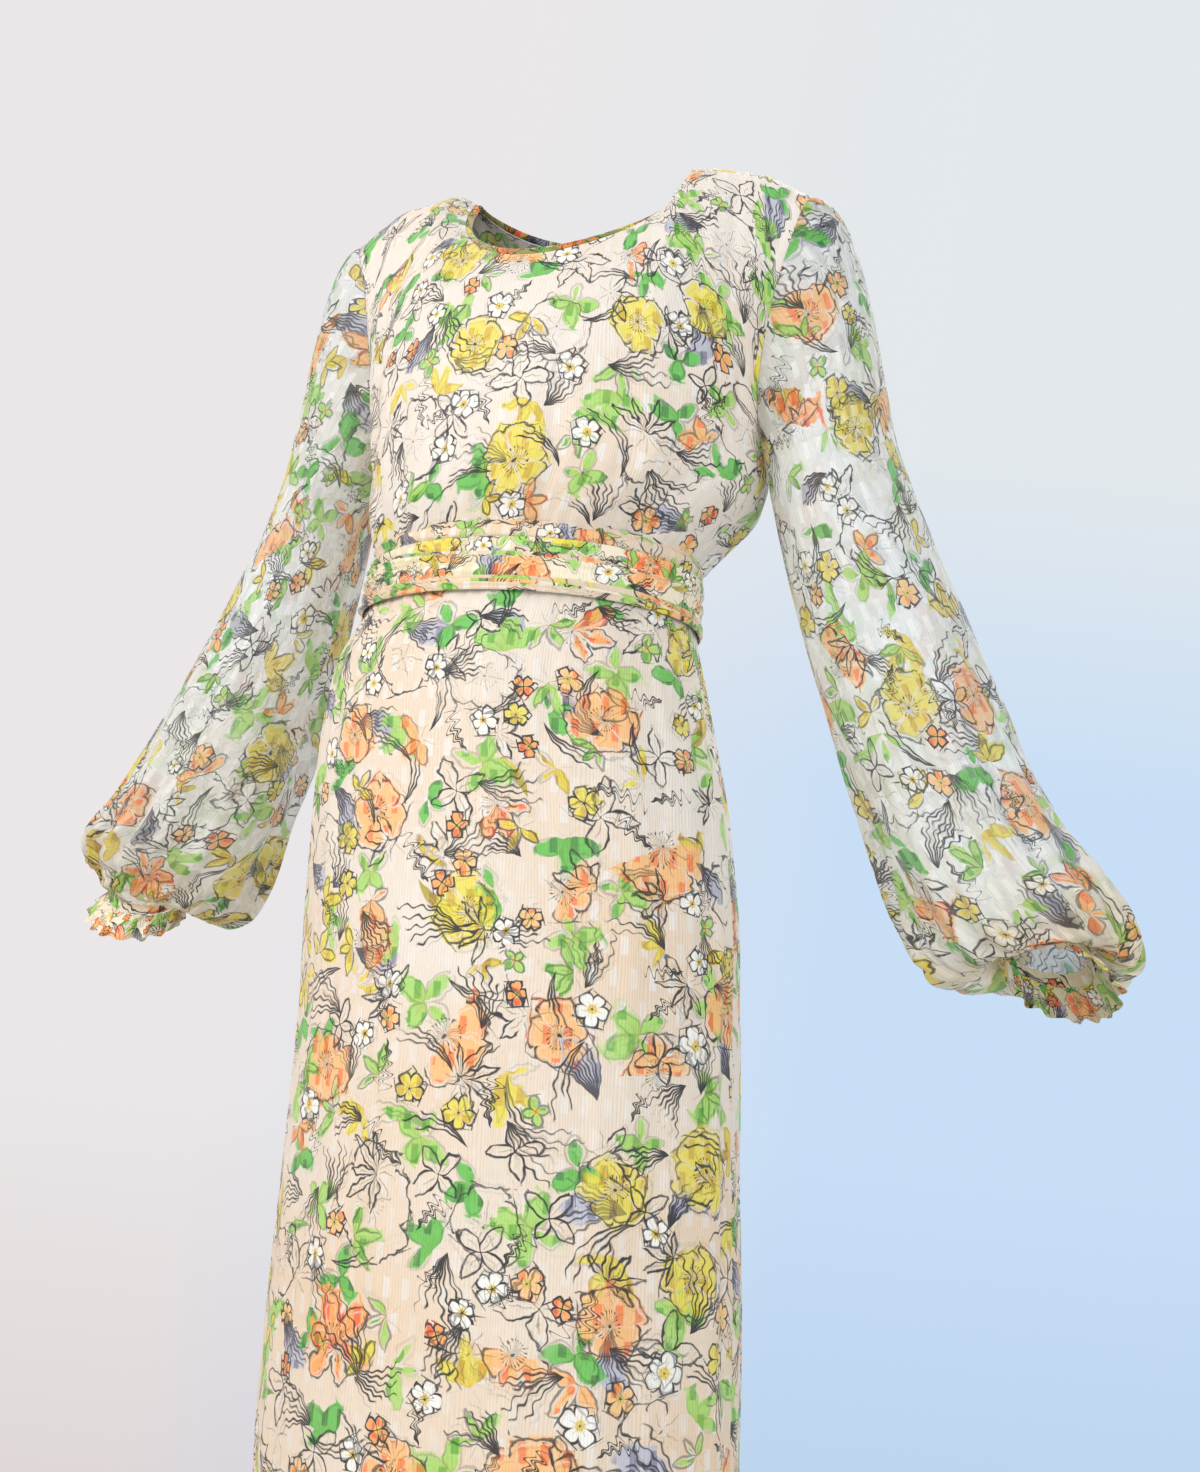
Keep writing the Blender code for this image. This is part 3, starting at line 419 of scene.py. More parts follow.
def fold_lift(angle, height):
    """How far the soft folds lift the cloth."""
    lift = np.zeros(np.broadcast(angle, height).shape)
    for folds, inside in ((SKIRT_FOLDS, height < SASH_BOTTOM), (BODICE_FOLDS, height > SASH_TOP)):
        for degrees, spread, depth, start, end in folds:
            away = (np.degrees(angle) - degrees + 180) % 360 - 180
            swell = ease((height - start) / (end - start)) * inside
            lift = lift + depth * swell * np.exp(-(away / spread) ** 2)
    return lift


def body_points(angle, height, lift=0.0):
    """Points of the body: x = sway + w cos(angle), y = seam - d sin(angle)."""
    angle, height = np.broadcast_arrays(np.asarray(angle, float), np.asarray(height, float))
    raised = fold_lift(angle, height) + lift
    depth = np.where(np.sin(angle) > 0, level(height, "front"), level(height, "back")) + raised
    x = level(height, "sway") + (level(height, "half_width") + raised) * np.cos(angle)
    return np.stack([x, SEAM_Y - depth * np.sin(angle), height], axis=-1)


def waist_points(angle, height, lift):
    """Points over the waist, straight between the sash's two edges."""
    angle, height, lift = np.broadcast_arrays(angle, height, lift)
    low = body_points(angle, SASH_BOTTOM, lift)
    high = body_points(angle, SASH_TOP, lift)
    t = (height - SASH_BOTTOM) / (SASH_TOP - SASH_BOTTOM)
    return low + (high - low) * t[..., None]


def lean(points):
    """Yoke points moved to +X by the body's sway."""
    moved = points.copy()
    moved[..., 0] += level(UNDERARM, "sway") * ease(points[..., 2] / LEAN_END)
    return moved


def panel_angle(across, side):
    """Angle round the body of a panel's column; across runs from -1 (right) to 1 (left)."""
    if side == "front":
        return math.pi / 2 * (1 - across)
    return math.pi / 2 * (3 + across)


def armhole(turn, hand):
    """Point of an armhole before leaning: turn 0 shoulder, 0.25 front, 0.5 underarm, 0.75 back."""
    top, front, under, back = (np.array(p) for p in
                               (ARMHOLE_TOP, ARMHOLE_FRONT, ARMHOLE_UNDER, ARMHOLE_BACK))
    middle = (top + front + under + back) / 4
    second = (top + under - front - back) / 4
    angle = 2 * math.pi * np.asarray(turn, float)[..., None]
    points = (middle + (top - under) / 2 * np.cos(angle) + (front - back) / 2 * np.sin(angle)
              + second * np.cos(2 * angle))
    return points * np.array([hand, 1.0, 1.0])


def yoke_top(across, side):
    """Upper edge of a panel before leaning: shoulder seam, neck, shoulder seam."""
    reach = np.abs(across)
    low_y, low_z = NECK_FRONT if side == "front" else NECK_BACK
    bend = math.pi / 2 * np.clip(reach / NECK_SHARE, 0, 1)
    neck = np.stack([NECK_HALF_WIDTH * np.sin(bend),
                     NECK_SIDE[0] + (low_y - NECK_SIDE[0]) * np.cos(bend),
                     NECK_SIDE[1] + (low_z - NECK_SIDE[1]) * np.cos(bend)], axis=-1)
    t = np.clip((reach - NECK_SHARE) / (1 - NECK_SHARE), 0, 1)[..., None]
    inner = np.array([NECK_HALF_WIDTH, *NECK_SIDE])
    shoulder = inner + (np.array(ARMHOLE_TOP) - inner) * t
    shoulder[..., 2] += SHOULDER_RISE * np.sin(math.pi * t[..., 0])
    edge = np.where(reach[..., None] < NECK_SHARE, neck, shoulder)
    edge[..., 0] *= np.sign(across)
    return edge


def over_shoulder(low, high, up, roundness):
    """Path from low to high that turns over as part of an ellipse."""
    limit = math.pi / 2 * roundness
    upward = np.sin(limit * up) / np.sin(limit)
    inward = (1 - np.cos(limit * up)) / (1 - np.cos(limit))
    return low + (high - low) * np.concatenate([inward, inward, upward], axis=-1)


def yoke_points(across, up, side):
    """Panel above the underarm: a patch between the underarm level, armholes and top edge."""
    base = body_points(panel_angle(across, side), UNDERARM)
    base[..., 0] -= level(UNDERARM, "sway")
    turn = 0.5 * (1 - up) if side == "front" else 0.5 * (1 + up)
    rise = up[..., None]
    roundness = 0.35 + 0.65 * ease(np.abs(across) / NECK_SHARE)[..., None]
    columns = over_shoulder(base, yoke_top(across, side), rise, roundness)
    corner = over_shoulder(np.array(ARMHOLE_UNDER), np.array(ARMHOLE_TOP), rise, 1.0)
    left_share, right_share = (np.clip(reach, 0, 1)[..., None] ** YOKE_FADE
                               for reach in (across, -across))
    left = armhole(turn, 1) - corner
    right = armhole(turn, -1) - corner * np.array([-1.0, 1.0, 1.0])
    return lean(columns + right * right_share + left * left_share)


def directions(grid, axis, closed=False):
    """Sum of the unit steps before and after each point along an axis."""
    if closed:
        step = unit(np.roll(grid, -1, axis=axis) - grid)
        return step + np.roll(step, 1, axis=axis)
    step = unit(np.diff(grid, axis=axis))
    before = np.concatenate([np.take(step, [0], axis=axis), step], axis=axis)
    after = np.concatenate([step, np.take(step, [-1], axis=axis)], axis=axis)
    return before + after


def grid_normals(grid, closed=False):
    """Unit normals of a grid: along its rows crossed with up its columns."""
    return unit(np.cross(directions(grid, 1, closed), directions(grid, 0)))


def panel_surface(side, columns, lower_rows, yoke_rows):
    """Fine surface of a panel: the solid's form with crinkles along the cloth's length.

    The crinkles are ripples across the panel that run up it, about half a millimetre deep,
    deeper just above and below the sash, where the cloth is held in.
    """
    across = np.linspace(-1, 1, columns + 1)
    heights = np.linspace(HEM, UNDERARM, lower_rows + 1)
    lower = body_points(panel_angle(across[None, :], side), heights[:, None])
    up = np.linspace(0, 1, yoke_rows + 1)[1:]
    grid_across, grid_up = np.meshgrid(across, up)
    grid = np.concatenate([lower, yoke_points(grid_across, grid_up, side)])
    sign = 1 if side == "front" else -1
    normals = sign * grid_normals(grid)
    height = grid[..., 2]
    place = np.broadcast_to(across[None, :], height.shape)
    seed = 11 if side == "front" else 23
    crinkle = ripple(place, height * 3, PANEL_CRINKLES, seed)
    held = np.where(height > SASH_TOP, np.exp(-(height - SASH_TOP) / 0.035),
                    np.exp(-(SASH_BOTTOM - height) / 0.045) * 0.7)
    held = np.where((height < SASH_TOP) & (height > SASH_BOTTOM), 0.4, held)
    pleats = ripple(place, height * 6, PANEL_PLEATS, seed + 1)
    drape = ripple(place, height * 2, PANEL_DRAPE, seed + 2)
    edge = ease((1 - np.abs(place)) / 0.05)
    top = ease((1 - np.concatenate([np.zeros(lower_rows + 1), up]))[:, None] / 0.12)
    lift = CRINKLE_DEPTH * crinkle + PLEAT_DEPTH * held * pleats + DRAPE_DEPTH * drape
    lift = lift * edge * top - SEAM_DIP * np.exp(-((1 - np.abs(place)) / 0.012) ** 2)
    table = FRONT_CREASES if side == "front" else BACK_CREASES
    lift = lift + creases(table, place, height, 0.27, 1.0) * edge
    return grid + normals * lift[..., None]


# ---------------------------------------------------------------- form of the sleeves
def arm_line(along, arm):
    """Points of an arm's line, with its outward, forward and downward axes."""
    start, end = np.array(arm["start"]), np.array(arm["end"])
    t = np.asarray(along, float)[..., None] / np.linalg.norm(end - start)
    down = unit(end - start)
    outward = arm["hand"] * unit(np.cross(np.array([0.0, -1.0, 0.0]), down))
    forward = arm["hand"] * np.cross(down, outward)
    bow = arm["bow"] * np.sin(math.pi * np.clip(t, 0, 1))
    return start + (end - start) * t + outward * bow, outward, forward, down


def arm_ring(arm, along, across, ahead, fall_out, fall_ahead):
    """Points across and ahead of the arm's line, on a ring turned to fall as stated."""
    centre, outward, forward, down = arm_line(along, arm)
    slope = np.maximum(np.hypot(fall_out, fall_ahead), 1e-9)
    reach = (across * fall_out + ahead * fall_ahead) / slope
    turned = reach / np.sqrt(1 + slope**2)
    across = across + (turned - reach) * fall_out / slope
    ahead = ahead + (turned - reach) * fall_ahead / slope
    return (centre + across[..., None] * outward + ahead[..., None] * forward
            + (slope * turned)[..., None] * down)


def sleeve_surface(rings, arm, table, columns, cap_rows, ring_rows, seed):
    """Fine surface of a sleeve, rows from the armhole to the cuff.

    Below the cap each ring is an ellipse across the arm's line whose sizes follow the table
    smoothly; long soft folds ripple round it, and turn into gathers that deepen toward the
    cuff.  The cap is a cubic from the armhole to the first ring.
    """
    turn = np.arange(columns) / columns
    angle = 2 * math.pi * turn[None, :]
    index = np.arange(len(rings), dtype=float)
    place = np.linspace(0, len(rings) - 1, ring_rows + 1)
    along, wide, deep, out, sag, gather, fall_out, fall_ahead = (
        smooth(place, index, column(rings, RING_COLUMNS, name))[:, None]
        for name in RING_COLUMNS)
    share = place[:, None] / (len(rings) - 1)
    folds = ripple(turn[None, :], share * 2.4, SLEEVE_FOLDS, seed)
    gathers = ripple(turn[None, :], share * 1.5, SLEEVE_GATHERS, seed + 1)
    soft = SLEEVE_FOLD_DEPTH * ease((share - 0.02) / 0.3) * (1 - ease((share - 0.78) / 0.2))
    early = EARLY_GATHER_DEPTH * ease((share - 0.45) / 0.25) * (1 - ease((share - 0.9) / 0.1))
    wave = folds * soft + gathers * (gather * GATHER_SHARE + early)
    for shift in (-1, 0, 1):
        wave = wave + creases(table, turn[None, :] + shift, share, 0.40, 0.55)
    points = arm_ring(arm, along, out + (wide + wave) * np.cos(angle),
                      (deep + wave) * np.sin(angle), fall_out, fall_ahead)
    points[..., 2] -= sag * ((1 - np.cos(angle)) / 2) ** 2
    first = lean(armhole(turn, arm["hand"]))
    _, outward, _, down = arm_line(0.0, arm)
    under = ((1 - np.cos(2 * math.pi * turn)) / 2)[:, None]
    straight = points[0] - first
    pull = CAP_PULL_TOP + (CAP_PULL_UNDER - CAP_PULL_TOP) * under
    pull = pull * np.linalg.norm(straight, axis=-1, keepdims=True)
    leave = unit((outward + 0.45 * down) * (1 - under) + unit(straight) * under) * pull
    arrive = unit(points[3] - points[0]) * pull
    t = np.linspace(0, 1, cap_rows + 1)[:-1, None, None]
    cap = (first * (2 * t**3 - 3 * t**2 + 1) + points[0] * (3 * t**2 - 2 * t**3)
           + leave * (t**3 - 2 * t**2 + t) + arrive * (t**3 - t**2))
    grid = np.concatenate([cap, points])
    normals = arm["hand"] * grid_normals(grid, closed=True)
    rows = np.linspace(0, 1, len(grid))[:, None]
    fine = ripple(turn[None, :], rows * 6, SLEEVE_CRINKLES, seed + 2)
    fine = fine * SLEEVE_CRINKLE_DEPTH * ease(rows / 0.03) * ease((1 - rows) / 0.02)
    return grid + normals * fine[..., None]


def sleeve_pattern(grid):
    """Cloth coordinates of a sleeve: round it from the outer line, and down from the armhole.

    The cloth widens evenly from the armhole to the widest ring and keeps that ring's girth
    below it, as cloth does that is gathered in.  Its cross grain is level a third of the way
    down, at the upper arm.
    """
    looped = np.concatenate([grid, grid[:, :1]], axis=1)
    girth = np.linalg.norm(np.diff(looped, axis=1), axis=-1).sum(axis=1)
    middle = len(girth) // 2
    widest = middle + int(np.argmax(girth[middle:]))
    start = 0.5 * (girth[0] + girth[:middle].min())
    girth = np.interp(np.arange(len(girth)), (0, widest), (start, girth[widest]))
    columns = grid.shape[1]
    turn = np.arange(columns + 1) / columns
    u = (turn[None, :] - 0.5) * girth[:, None]
    fall = np.linalg.norm(np.diff(looped, axis=0), axis=-1)
    v = -np.concatenate([np.zeros((1, columns + 1)), np.cumsum(fall, axis=0)])
    level_row = len(v) // 3
    v = v - v[level_row] + v[level_row].mean()
    return np.stack([u, v], axis=-1)


def panel_pattern(grid):
    """Cloth coordinates of a panel: across from its middle line, and up from the hem."""
    steps = np.linalg.norm(np.diff(grid, axis=1), axis=-1)
    middle = steps.shape[1] // 2
    u = np.concatenate([np.zeros((len(grid), 1)), np.cumsum(steps, axis=1)], axis=1)
    u = u - u[:, middle:middle + 1]
    rise = np.linalg.norm(np.diff(grid, axis=0), axis=-1)
    v = np.concatenate([np.zeros((1, grid.shape[1])), np.cumsum(rise, axis=0)])
    return np.stack([u, v], axis=-1)


def loop_pattern(grid):
    """Cloth coordinates of a loop: round it and across its width."""
    looped = np.concatenate([grid, grid[:, :1]], axis=1)
    steps = np.linalg.norm(np.diff(looped, axis=1), axis=-1).mean(axis=0)
    u = np.concatenate([[0.0], np.cumsum(steps)])[None, :]
    rise = np.linalg.norm(np.diff(grid, axis=0), axis=-1).mean(axis=1)
    v = np.concatenate([[0.0], np.cumsum(rise)])[:, None]
    u, v = np.broadcast_arrays(u, v)
    return np.stack([u, v], axis=-1)


def cuff_surface(arm, lengths, wave):
    """Rings of the cuff's radius round the arm's line, measured from the start of the cuff.

    wave (rows, columns) is added to the radius.
    """
    columns = wave.shape[1]
    angle = 2 * math.pi * np.arange(columns)[None, :] / columns
    along = lengths[:, None] + arm["cuff"] + 0 * angle
    radius = CUFF_RADIUS + wave
    return arm_ring(arm, along, arm["out"] + radius * np.cos(angle), radius * np.sin(angle),
                    arm["fall_out"], arm["fall_ahead"])


# ---------------------------------------------------------------- meshes
def add_surface(name, grid, pattern, closed=False, flip=False):
    """A surface through a grid of points, with its cloth coordinates as its UV map.

    closed joins the last column to the first; pattern then has one column more than the grid.
    """
    rows, columns = grid.shape[:2]
    steps = columns if closed else columns - 1
    row, step = (index.ravel() for index in np.mgrid[0:rows - 1, 0:steps])
    corner_rows = np.stack([row, row, row + 1, row + 1], axis=1)
    corner_steps = np.stack([step, step + 1, step + 1, step], axis=1)
    if flip:
        corner_rows = corner_rows[:, ::-1]
        corner_steps = corner_steps[:, ::-1]
    faces = corner_rows * columns + corner_steps % columns
    mesh = bpy.data.meshes.new(name)
    mesh.vertices.add(rows * columns)
    mesh.vertices.foreach_set("co", grid.reshape(-1).astype(np.float32))
    mesh.loops.add(faces.size)
    mesh.loops.foreach_set("vertex_index", faces.reshape(-1).astype(np.int32))
    mesh.polygons.add(len(faces))
    mesh.polygons.foreach_set("loop_start", np.arange(0, faces.size, 4, dtype=np.int32))
    mesh.update(calc_edges=True)
    corners = pattern[corner_rows, corner_steps]
    layer = mesh.uv_layers.new(name="cloth")
    layer.data.foreach_set("uv", corners.reshape(-1).astype(np.float32))
    mesh.shade_smooth()
    mesh.validate()
    piece = bpy.data.objects.new(name, mesh)
    bpy.context.collection.objects.link(piece)
    return piece, corners


def declare(corners):
    """Work out the area of a piece's flat cut from its cloth coordinates, as the sum of its
    faces; nothing is done with the area.
    """
    across, down = corners[..., 0], corners[..., 1]
    cut = 0.5 * np.abs(np.sum(across * np.roll(down, -1, axis=1)
                              - down * np.roll(across, -1, axis=1), axis=1)).sum()


def finish_piece(piece, corners, nodes, material, seed, scale=1.0):
    """Print a piece, give it its material, hang it from the root body and hide its solids."""
    print_cloth(piece, corners, seed, scale)
    piece.data.materials.append(material)
    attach(piece, "root")
    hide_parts(*nodes)
    declare(corners)


# ---------------------------------------------------------------- laying out the print
def scatter(rng, low, high, table, columns, spacing, avoid, clustered, taken):
    """Motifs of one layer, placed at random with no two on top of each other.

    Returns one row for each: x, y, size, turn, then the table's columns as numbers, with the
    paint as three, and its fill.  A motif keeps `spacing` times the two sizes from its own
    layer, and `avoid` times from the motifs of earlier layers.  A clustered layer leaves
    some regions bare.
    """
    shares, usual = column(table, columns, "share"), column(table, columns, "size")
    mean = float(np.mean(np.abs(usual)))
    tries = int(TRIES_PER_MOTIF * float(np.prod(high - low)) / mean**2) + LEAST_TRIES
    kinds = rng.choice(len(table), tries, p=shares / shares.sum())
    places = rng.uniform(low, high, (tries, 2))
    sizes = usual[kinds] * rng.uniform(*SIZE_SPREAD, tries)
    turns = rng.uniform(0, 2 * math.pi, tries)
    if clustered:
        waves = (np.sin(places[:, 0] * 52 + 2 * np.sin(places[:, 1] * 31))
                 + np.sin(places[:, 1] * 47 + 2 * np.sin(places[:, 0] * 37)))
        keep = waves > CLUSTER_LEVEL
        kinds, places, sizes, turns = kinds[keep], places[keep], sizes[keep], turns[keep]
    chosen = np.zeros((0, 3))
    earlier = np.array([(row[0], row[1], abs(row[2])) for row in taken]).reshape(-1, 3)
    made = []
    for place, size, kind, turn in zip(places, sizes, kinds, turns):
        near = np.hypot(*(chosen[:, :2] - place).T) < spacing * (chosen[:, 2] + abs(size))
        over = np.hypot(*(earlier[:, :2] - place).T) < avoid * (earlier[:, 2] + abs(size))
        if near.any() or over.any():
            continue
        chosen = np.vstack([chosen, [*place, abs(size)]])
        _, _, count, second, third, paint, ink, last = table[kind]
        colour = srgb(*PAINTS[paint]) if paint else (1.0, 1.0, 1.0)
        made.append([*place, size, turn, count, second, third, *colour, ink, last,
                     0.0 if paint is None else 1.0])
    return made


def nearest_motif(motifs, centre):
    """The row of the motif that lies nearest each face, and whether it reaches the face."""
    best = np.full(len(centre), MOTIF_REACH)
    owner = np.full(len(centre), -1)
    for number, row in enumerate(motifs):
        away = np.hypot(centre[:, 0] - row[0], centre[:, 1] - row[1])
        away = away / max(abs(row[2]), LEAST_SIZE)
        nearer = away < best
        best[nearer] = away[nearer]
        owner[nearer] = number
    return motifs[owner], owner >= 0


def petal_peak(blunt):
    """Greatest value of t**0.75 (1 - t)**blunt, which a petal's half width is divided by."""
    top = PETAL_POWER / (PETAL_POWER + blunt)
    return top**PETAL_POWER * (1 - top) ** blunt


def print_cloth(piece, corners, seed, scale=1.0):
    """Give a piece the corner attributes that its print is drawn from.

    Each layer writes, for the motif that covers a face, the corner's place inside it (motif
    radius = 1) and its size; its form; its paint; and its ink, centre and fill.
    """
    rng = np.random.default_rng(seed)
    flat = corners.reshape(-1, 2) / scale
    low, high = flat.min(axis=0) - PRINT_MARGIN, flat.max(axis=0) + PRINT_MARGIN
    centre = corners.mean(axis=1) / scale
    taken = []
    for name, (table, columns, spacing, avoid, clustered) in LAYERS.items():
        made = scatter(rng, low, high, table, columns, spacing, avoid, clustered, taken)
        taken = taken + made
        own, covered = nearest_motif(np.array(made or [[0.0] * 13]), centre)
        cos, sin = np.cos(own[:, 3])[:, None], np.sin(own[:, 3])[:, None]
        away = corners / scale - own[:, None, :2]
        away = away / np.maximum(np.abs(own[:, None, 2:3]), LEAST_SIZE)
        place = np.stack([away[..., 0] * cos + away[..., 1] * sin,
                          away[..., 1] * cos - away[..., 0] * sin,
                          np.broadcast_to(own[:, 2:3], away.shape[:2])], axis=-1)
        place[~covered] = NO_MOTIF
        form = own[:, 4:7].copy()
        if name.startswith("bloom"):
            form[:, 1] /= petal_peak(form[:, 2])
        line = own[:, 10:13] * covered[:, None]
        for part, values in (("place", place), ("form", form), ("paint", own[:, 7:10]),
                             ("line", line)):
            if values.ndim == 2:
                values = np.repeat(values[:, None, :], 4, axis=1)
            attribute = piece.data.attributes.new(f"{name}_{part}", "FLOAT_VECTOR", "CORNER")
            attribute.data.foreach_set("vector", values.reshape(-1).astype(np.float32))


# ---------------------------------------------------------------- materials
def put(tree, socket, value):
    """Link a number or a socket to an input, or set the input to a plain value."""
    if isinstance(value, Value):
        value = value.out()
    if isinstance(value, bpy.types.NodeSocket):
        tree.links.new(value, socket)
    elif isinstance(value, tuple) and socket.type == "RGBA":
        socket.default_value = (*value[:3], 1.0)
    else:
        socket.default_value = value


def operate(tree, operation, *numbers, clamp=False):
    """A math node of some numbers."""
    node = tree.nodes.new("ShaderNodeMath")
    node.operation = operation
    node.use_clamp = clamp
    for socket, number in zip(node.inputs, numbers):
        put(tree, socket, number)
    return Value(tree, node.outputs[0])


class Value:
    """A number in a material, so that its nodes can be written as arithmetic.

    It stands for scale * socket + offset.  A plain number only changes these two, and one
    node is made for them when the number is used.
    """

    def __init__(self, tree, socket, scale=1.0, offset=0.0):
        self.tree, self.socket, self.scale, self.offset = tree, socket, scale, offset

    def made(self, clamp=False):
        """The number as the output of one node."""
        if self.offset == 0.0:
            return operate(self.tree, "MULTIPLY", self.socket, self.scale, clamp=clamp)
        if self.scale == 1.0:
            return operate(self.tree, "ADD", self.socket, self.offset, clamp=clamp)
        return operate(self.tree, "MULTIPLY_ADD", self.socket, self.scale, self.offset,
                       clamp=clamp)

    def out(self):
        """The socket that carries the number."""
        if self.scale != 1.0 or self.offset != 0.0:
            self.socket, self.scale, self.offset = self.made().socket, 1.0, 0.0
        return self.socket

    def math(self, operation, *others):
        """A math node of this number and the others."""
        return operate(self.tree, operation, self, *others)

    def __add__(self, other):
        if isinstance(other, Value):
            return self.math("ADD", other)
        return Value(self.tree, self.socket, self.scale, self.offset + other)

    def __mul__(self, other):
        if isinstance(other, Value):
            return self.math("MULTIPLY", other)
        return Value(self.tree, self.socket, self.scale * other, self.offset * other)

    def __sub__(self, other):
        return self.math("SUBTRACT", other) if isinstance(other, Value) else self + -other

    def __rsub__(self, number):
        return self * -1 + number

    def __truediv__(self, other):
        return self.math("DIVIDE", other) if isinstance(other, Value) else self * (1 / other)

    def __rtruediv__(self, number):
        return operate(self.tree, "DIVIDE", number, self)

    def __pow__(self, other):
        return self.math("POWER", other)

    def root(self):
        """Its square root."""
        return self.math("SQRT")

    def size(self):
        """Its absolute value."""
        return self.math("ABSOLUTE")

    def clamped(self):
        """The number kept between 0 and 1."""
        return self.made(clamp=True)

    def below(self, limit, soft):
        """1 where it is below the limit, 0 where above, with a soft edge."""
        return ((self - limit) * (-1 / soft) + 0.5).clamped()


class Cloth:
    """Material with the helpers that write its nodes."""

    def __init__(self, name):
        self.material = bpy.data.materials.new(name)
        self.material.use_nodes = True
        self.tree = self.material.node_tree
        self.tree.nodes.clear()

    def node(self, kind, inputs=None, **settings):
        """A new node with settings; a value given for an input is linked or set."""
        node = self.tree.nodes.new(kind)
        for key, value in settings.items():
            setattr(node, key, value)
        for key, value in (inputs or {}).items():
            put(self.tree, node.inputs[key], value)
        return node

    def value(self, socket):
        """A socket as a number."""
        return Value(self.tree, socket)

    def split(self, socket):
        """The three numbers of a vector."""
        node = self.node("ShaderNodeSeparateXYZ", {0: socket})
        return [self.value(output) for output in node.outputs]

    def join(self, x, y):
        """A vector of two numbers."""
        return self.node("ShaderNodeCombineXYZ", {0: x, 1: y}).outputs[0]

    def read(self, name):
        """The three numbers of an attribute."""
        return self.split(self.node("ShaderNodeAttribute", attribute_name=name).outputs["Vector"])

    def paint(self, name):
        """The colour of an attribute."""
        return self.node("ShaderNodeAttribute", attribute_name=name).outputs["Color"]

    def noise(self, vector, scale, detail=0.0, rough=0.5):
        """Noise from 0 to 1."""
        return self.value(self.noise_node(vector, scale, detail, rough).outputs[0])

    def noise_node(self, vector, scale, detail, rough):
        """A noise texture, whose second output is three noises in one."""
        return self.node("ShaderNodeTexNoise", {"Vector": vector, "Scale": scale,
                                                "Detail": detail, "Roughness": rough})

    def chance(self, number):
        """A random number from 0 to 1 that depends on a number."""
        node = self.node("ShaderNodeTexWhiteNoise", {"W": number}, noise_dimensions="1D")
        return self.value(node.outputs[0])

    def mix(self, share, first, second, mode="MIX"):
        """Mix two colours."""
        return self.node("ShaderNodeMix", {0: share, 6: first, 7: second}, data_type="RGBA",
                         blend_type=mode, clamp_factor=True).outputs[2]

    def tint(self, first, second):
        """Multiply two colours."""
        return self.mix(1.0, first, second, "MULTIPLY")

    def mix_shaders(self, share, first, second):
        """Mix the outputs of two shaders."""
        return self.node("ShaderNodeMixShader", {0: share, 1: first, 2: second}).outputs[0]

    def finish(self, surface):
        """Make a shader's output the material's surface."""
        self.node("ShaderNodeOutputMaterial", {0: surface})
        return self.material


def uses(layer, name):
    """Whether any motif of a layer has something in a column of its table."""
    table, columns = LAYERS[layer][:2]
    return any(row[columns.index(name)] for row in table)


def draw_bloom(cloth, layer, wobble):
    """Fill, ink and paint of one layer of flowers and leaves, and how far out a point lies.

    With t along a petal and l across it, the petal's half width is
    w = fat t^0.75 (1 - t)^blunt, and the ink follows |l| = w.
    """
    x, y, size = cloth.read(f"{layer}_place")
    count, fat, blunt = cloth.read(f"{layer}_form")
    ink, middle, fill = cloth.read(f"{layer}_line")
    wave_x, wave_y, wave_z = wobble
    whole = size.math("GREATER_THAN", 0.0)
    size = size.size()
    loose = (size * 45).math("MINIMUM", 1.25) * 0.24
    x, y = x + wave_x * loose, y + wave_y * loose
    radius = (x * x + y * y).root()
    angle = y.math("ARCTAN2", x)
    sector = count / (2 * math.pi)
    petal = (angle * sector).math("ROUND")
    luck = cloth.chance(petal * 1.37 + size * 9000)
    length = luck * 0.34 + 0.68
    off = angle - petal / sector + (luck - 0.5) * 0.16
    along = radius * off.math("COSINE") / length
    side = (radius * off.math("SINE")).size()
    t = along.math("MAXIMUM", 0.002).math("MINIMUM", 0.998)
    rest = 1 - t
    width = fat * t**PETAL_POWER * rest**blunt * (luck * 0.35 + 0.80)
    slope = width * (PETAL_POWER / t - blunt / rest)
    gap = (side - width) / (slope * slope + 1).root()
    gap = gap.math("MAXIMUM", along - 1)
    # A one-sided shape keeps the petals within about 100 degrees of its axis.
    bare = (petal / sector).size().math("GREATER_THAN", 1.75) * (1 - whole)
    gap = gap.math("MAXIMUM", bare * 18 - 9)
    outline = gap.size().below((wave_z * 1.8 + 1.1) * NIB / size, 0.02)
    vein = side.below(0.012, 0.012) * (along - 0.36).size().below(0.22, 0.1)
    drawn = outline.math("MAXIMUM", vein * 0.5) * ink
    # The paint lies off the ink by a few millimetres, each motif its own way.
    slip = (angle + size * 9000).math("COSINE") * 0.09
    painted = (gap + slip + wave_z * 0.20).below(0.0, 0.03) * fill
    if uses(layer, "centre"):
        rays = ((angle * 3.5).math("FRACT") - 0.5).size()
        stamens = (rays * radius).below(0.012, 0.010) * (radius - 0.17).size().below(0.10, 0.02)
        tips = rays.below(0.16, 0.08) * (radius - 0.30).size().below(0.028, 0.02)
        heart = stamens + tips + radius.below(0.05, 0.03)
        drawn = drawn.math("MAXIMUM", heart * ((middle - 0.35) * 2).clamped())
        inner = (gap + 0.10 + wave_z * 0.1).size().below(0.018, 0.02) * middle * fill
        painted = painted * (1 - inner * 0.8)
    return painted, drawn, cloth.paint(f"{layer}_paint"), radius


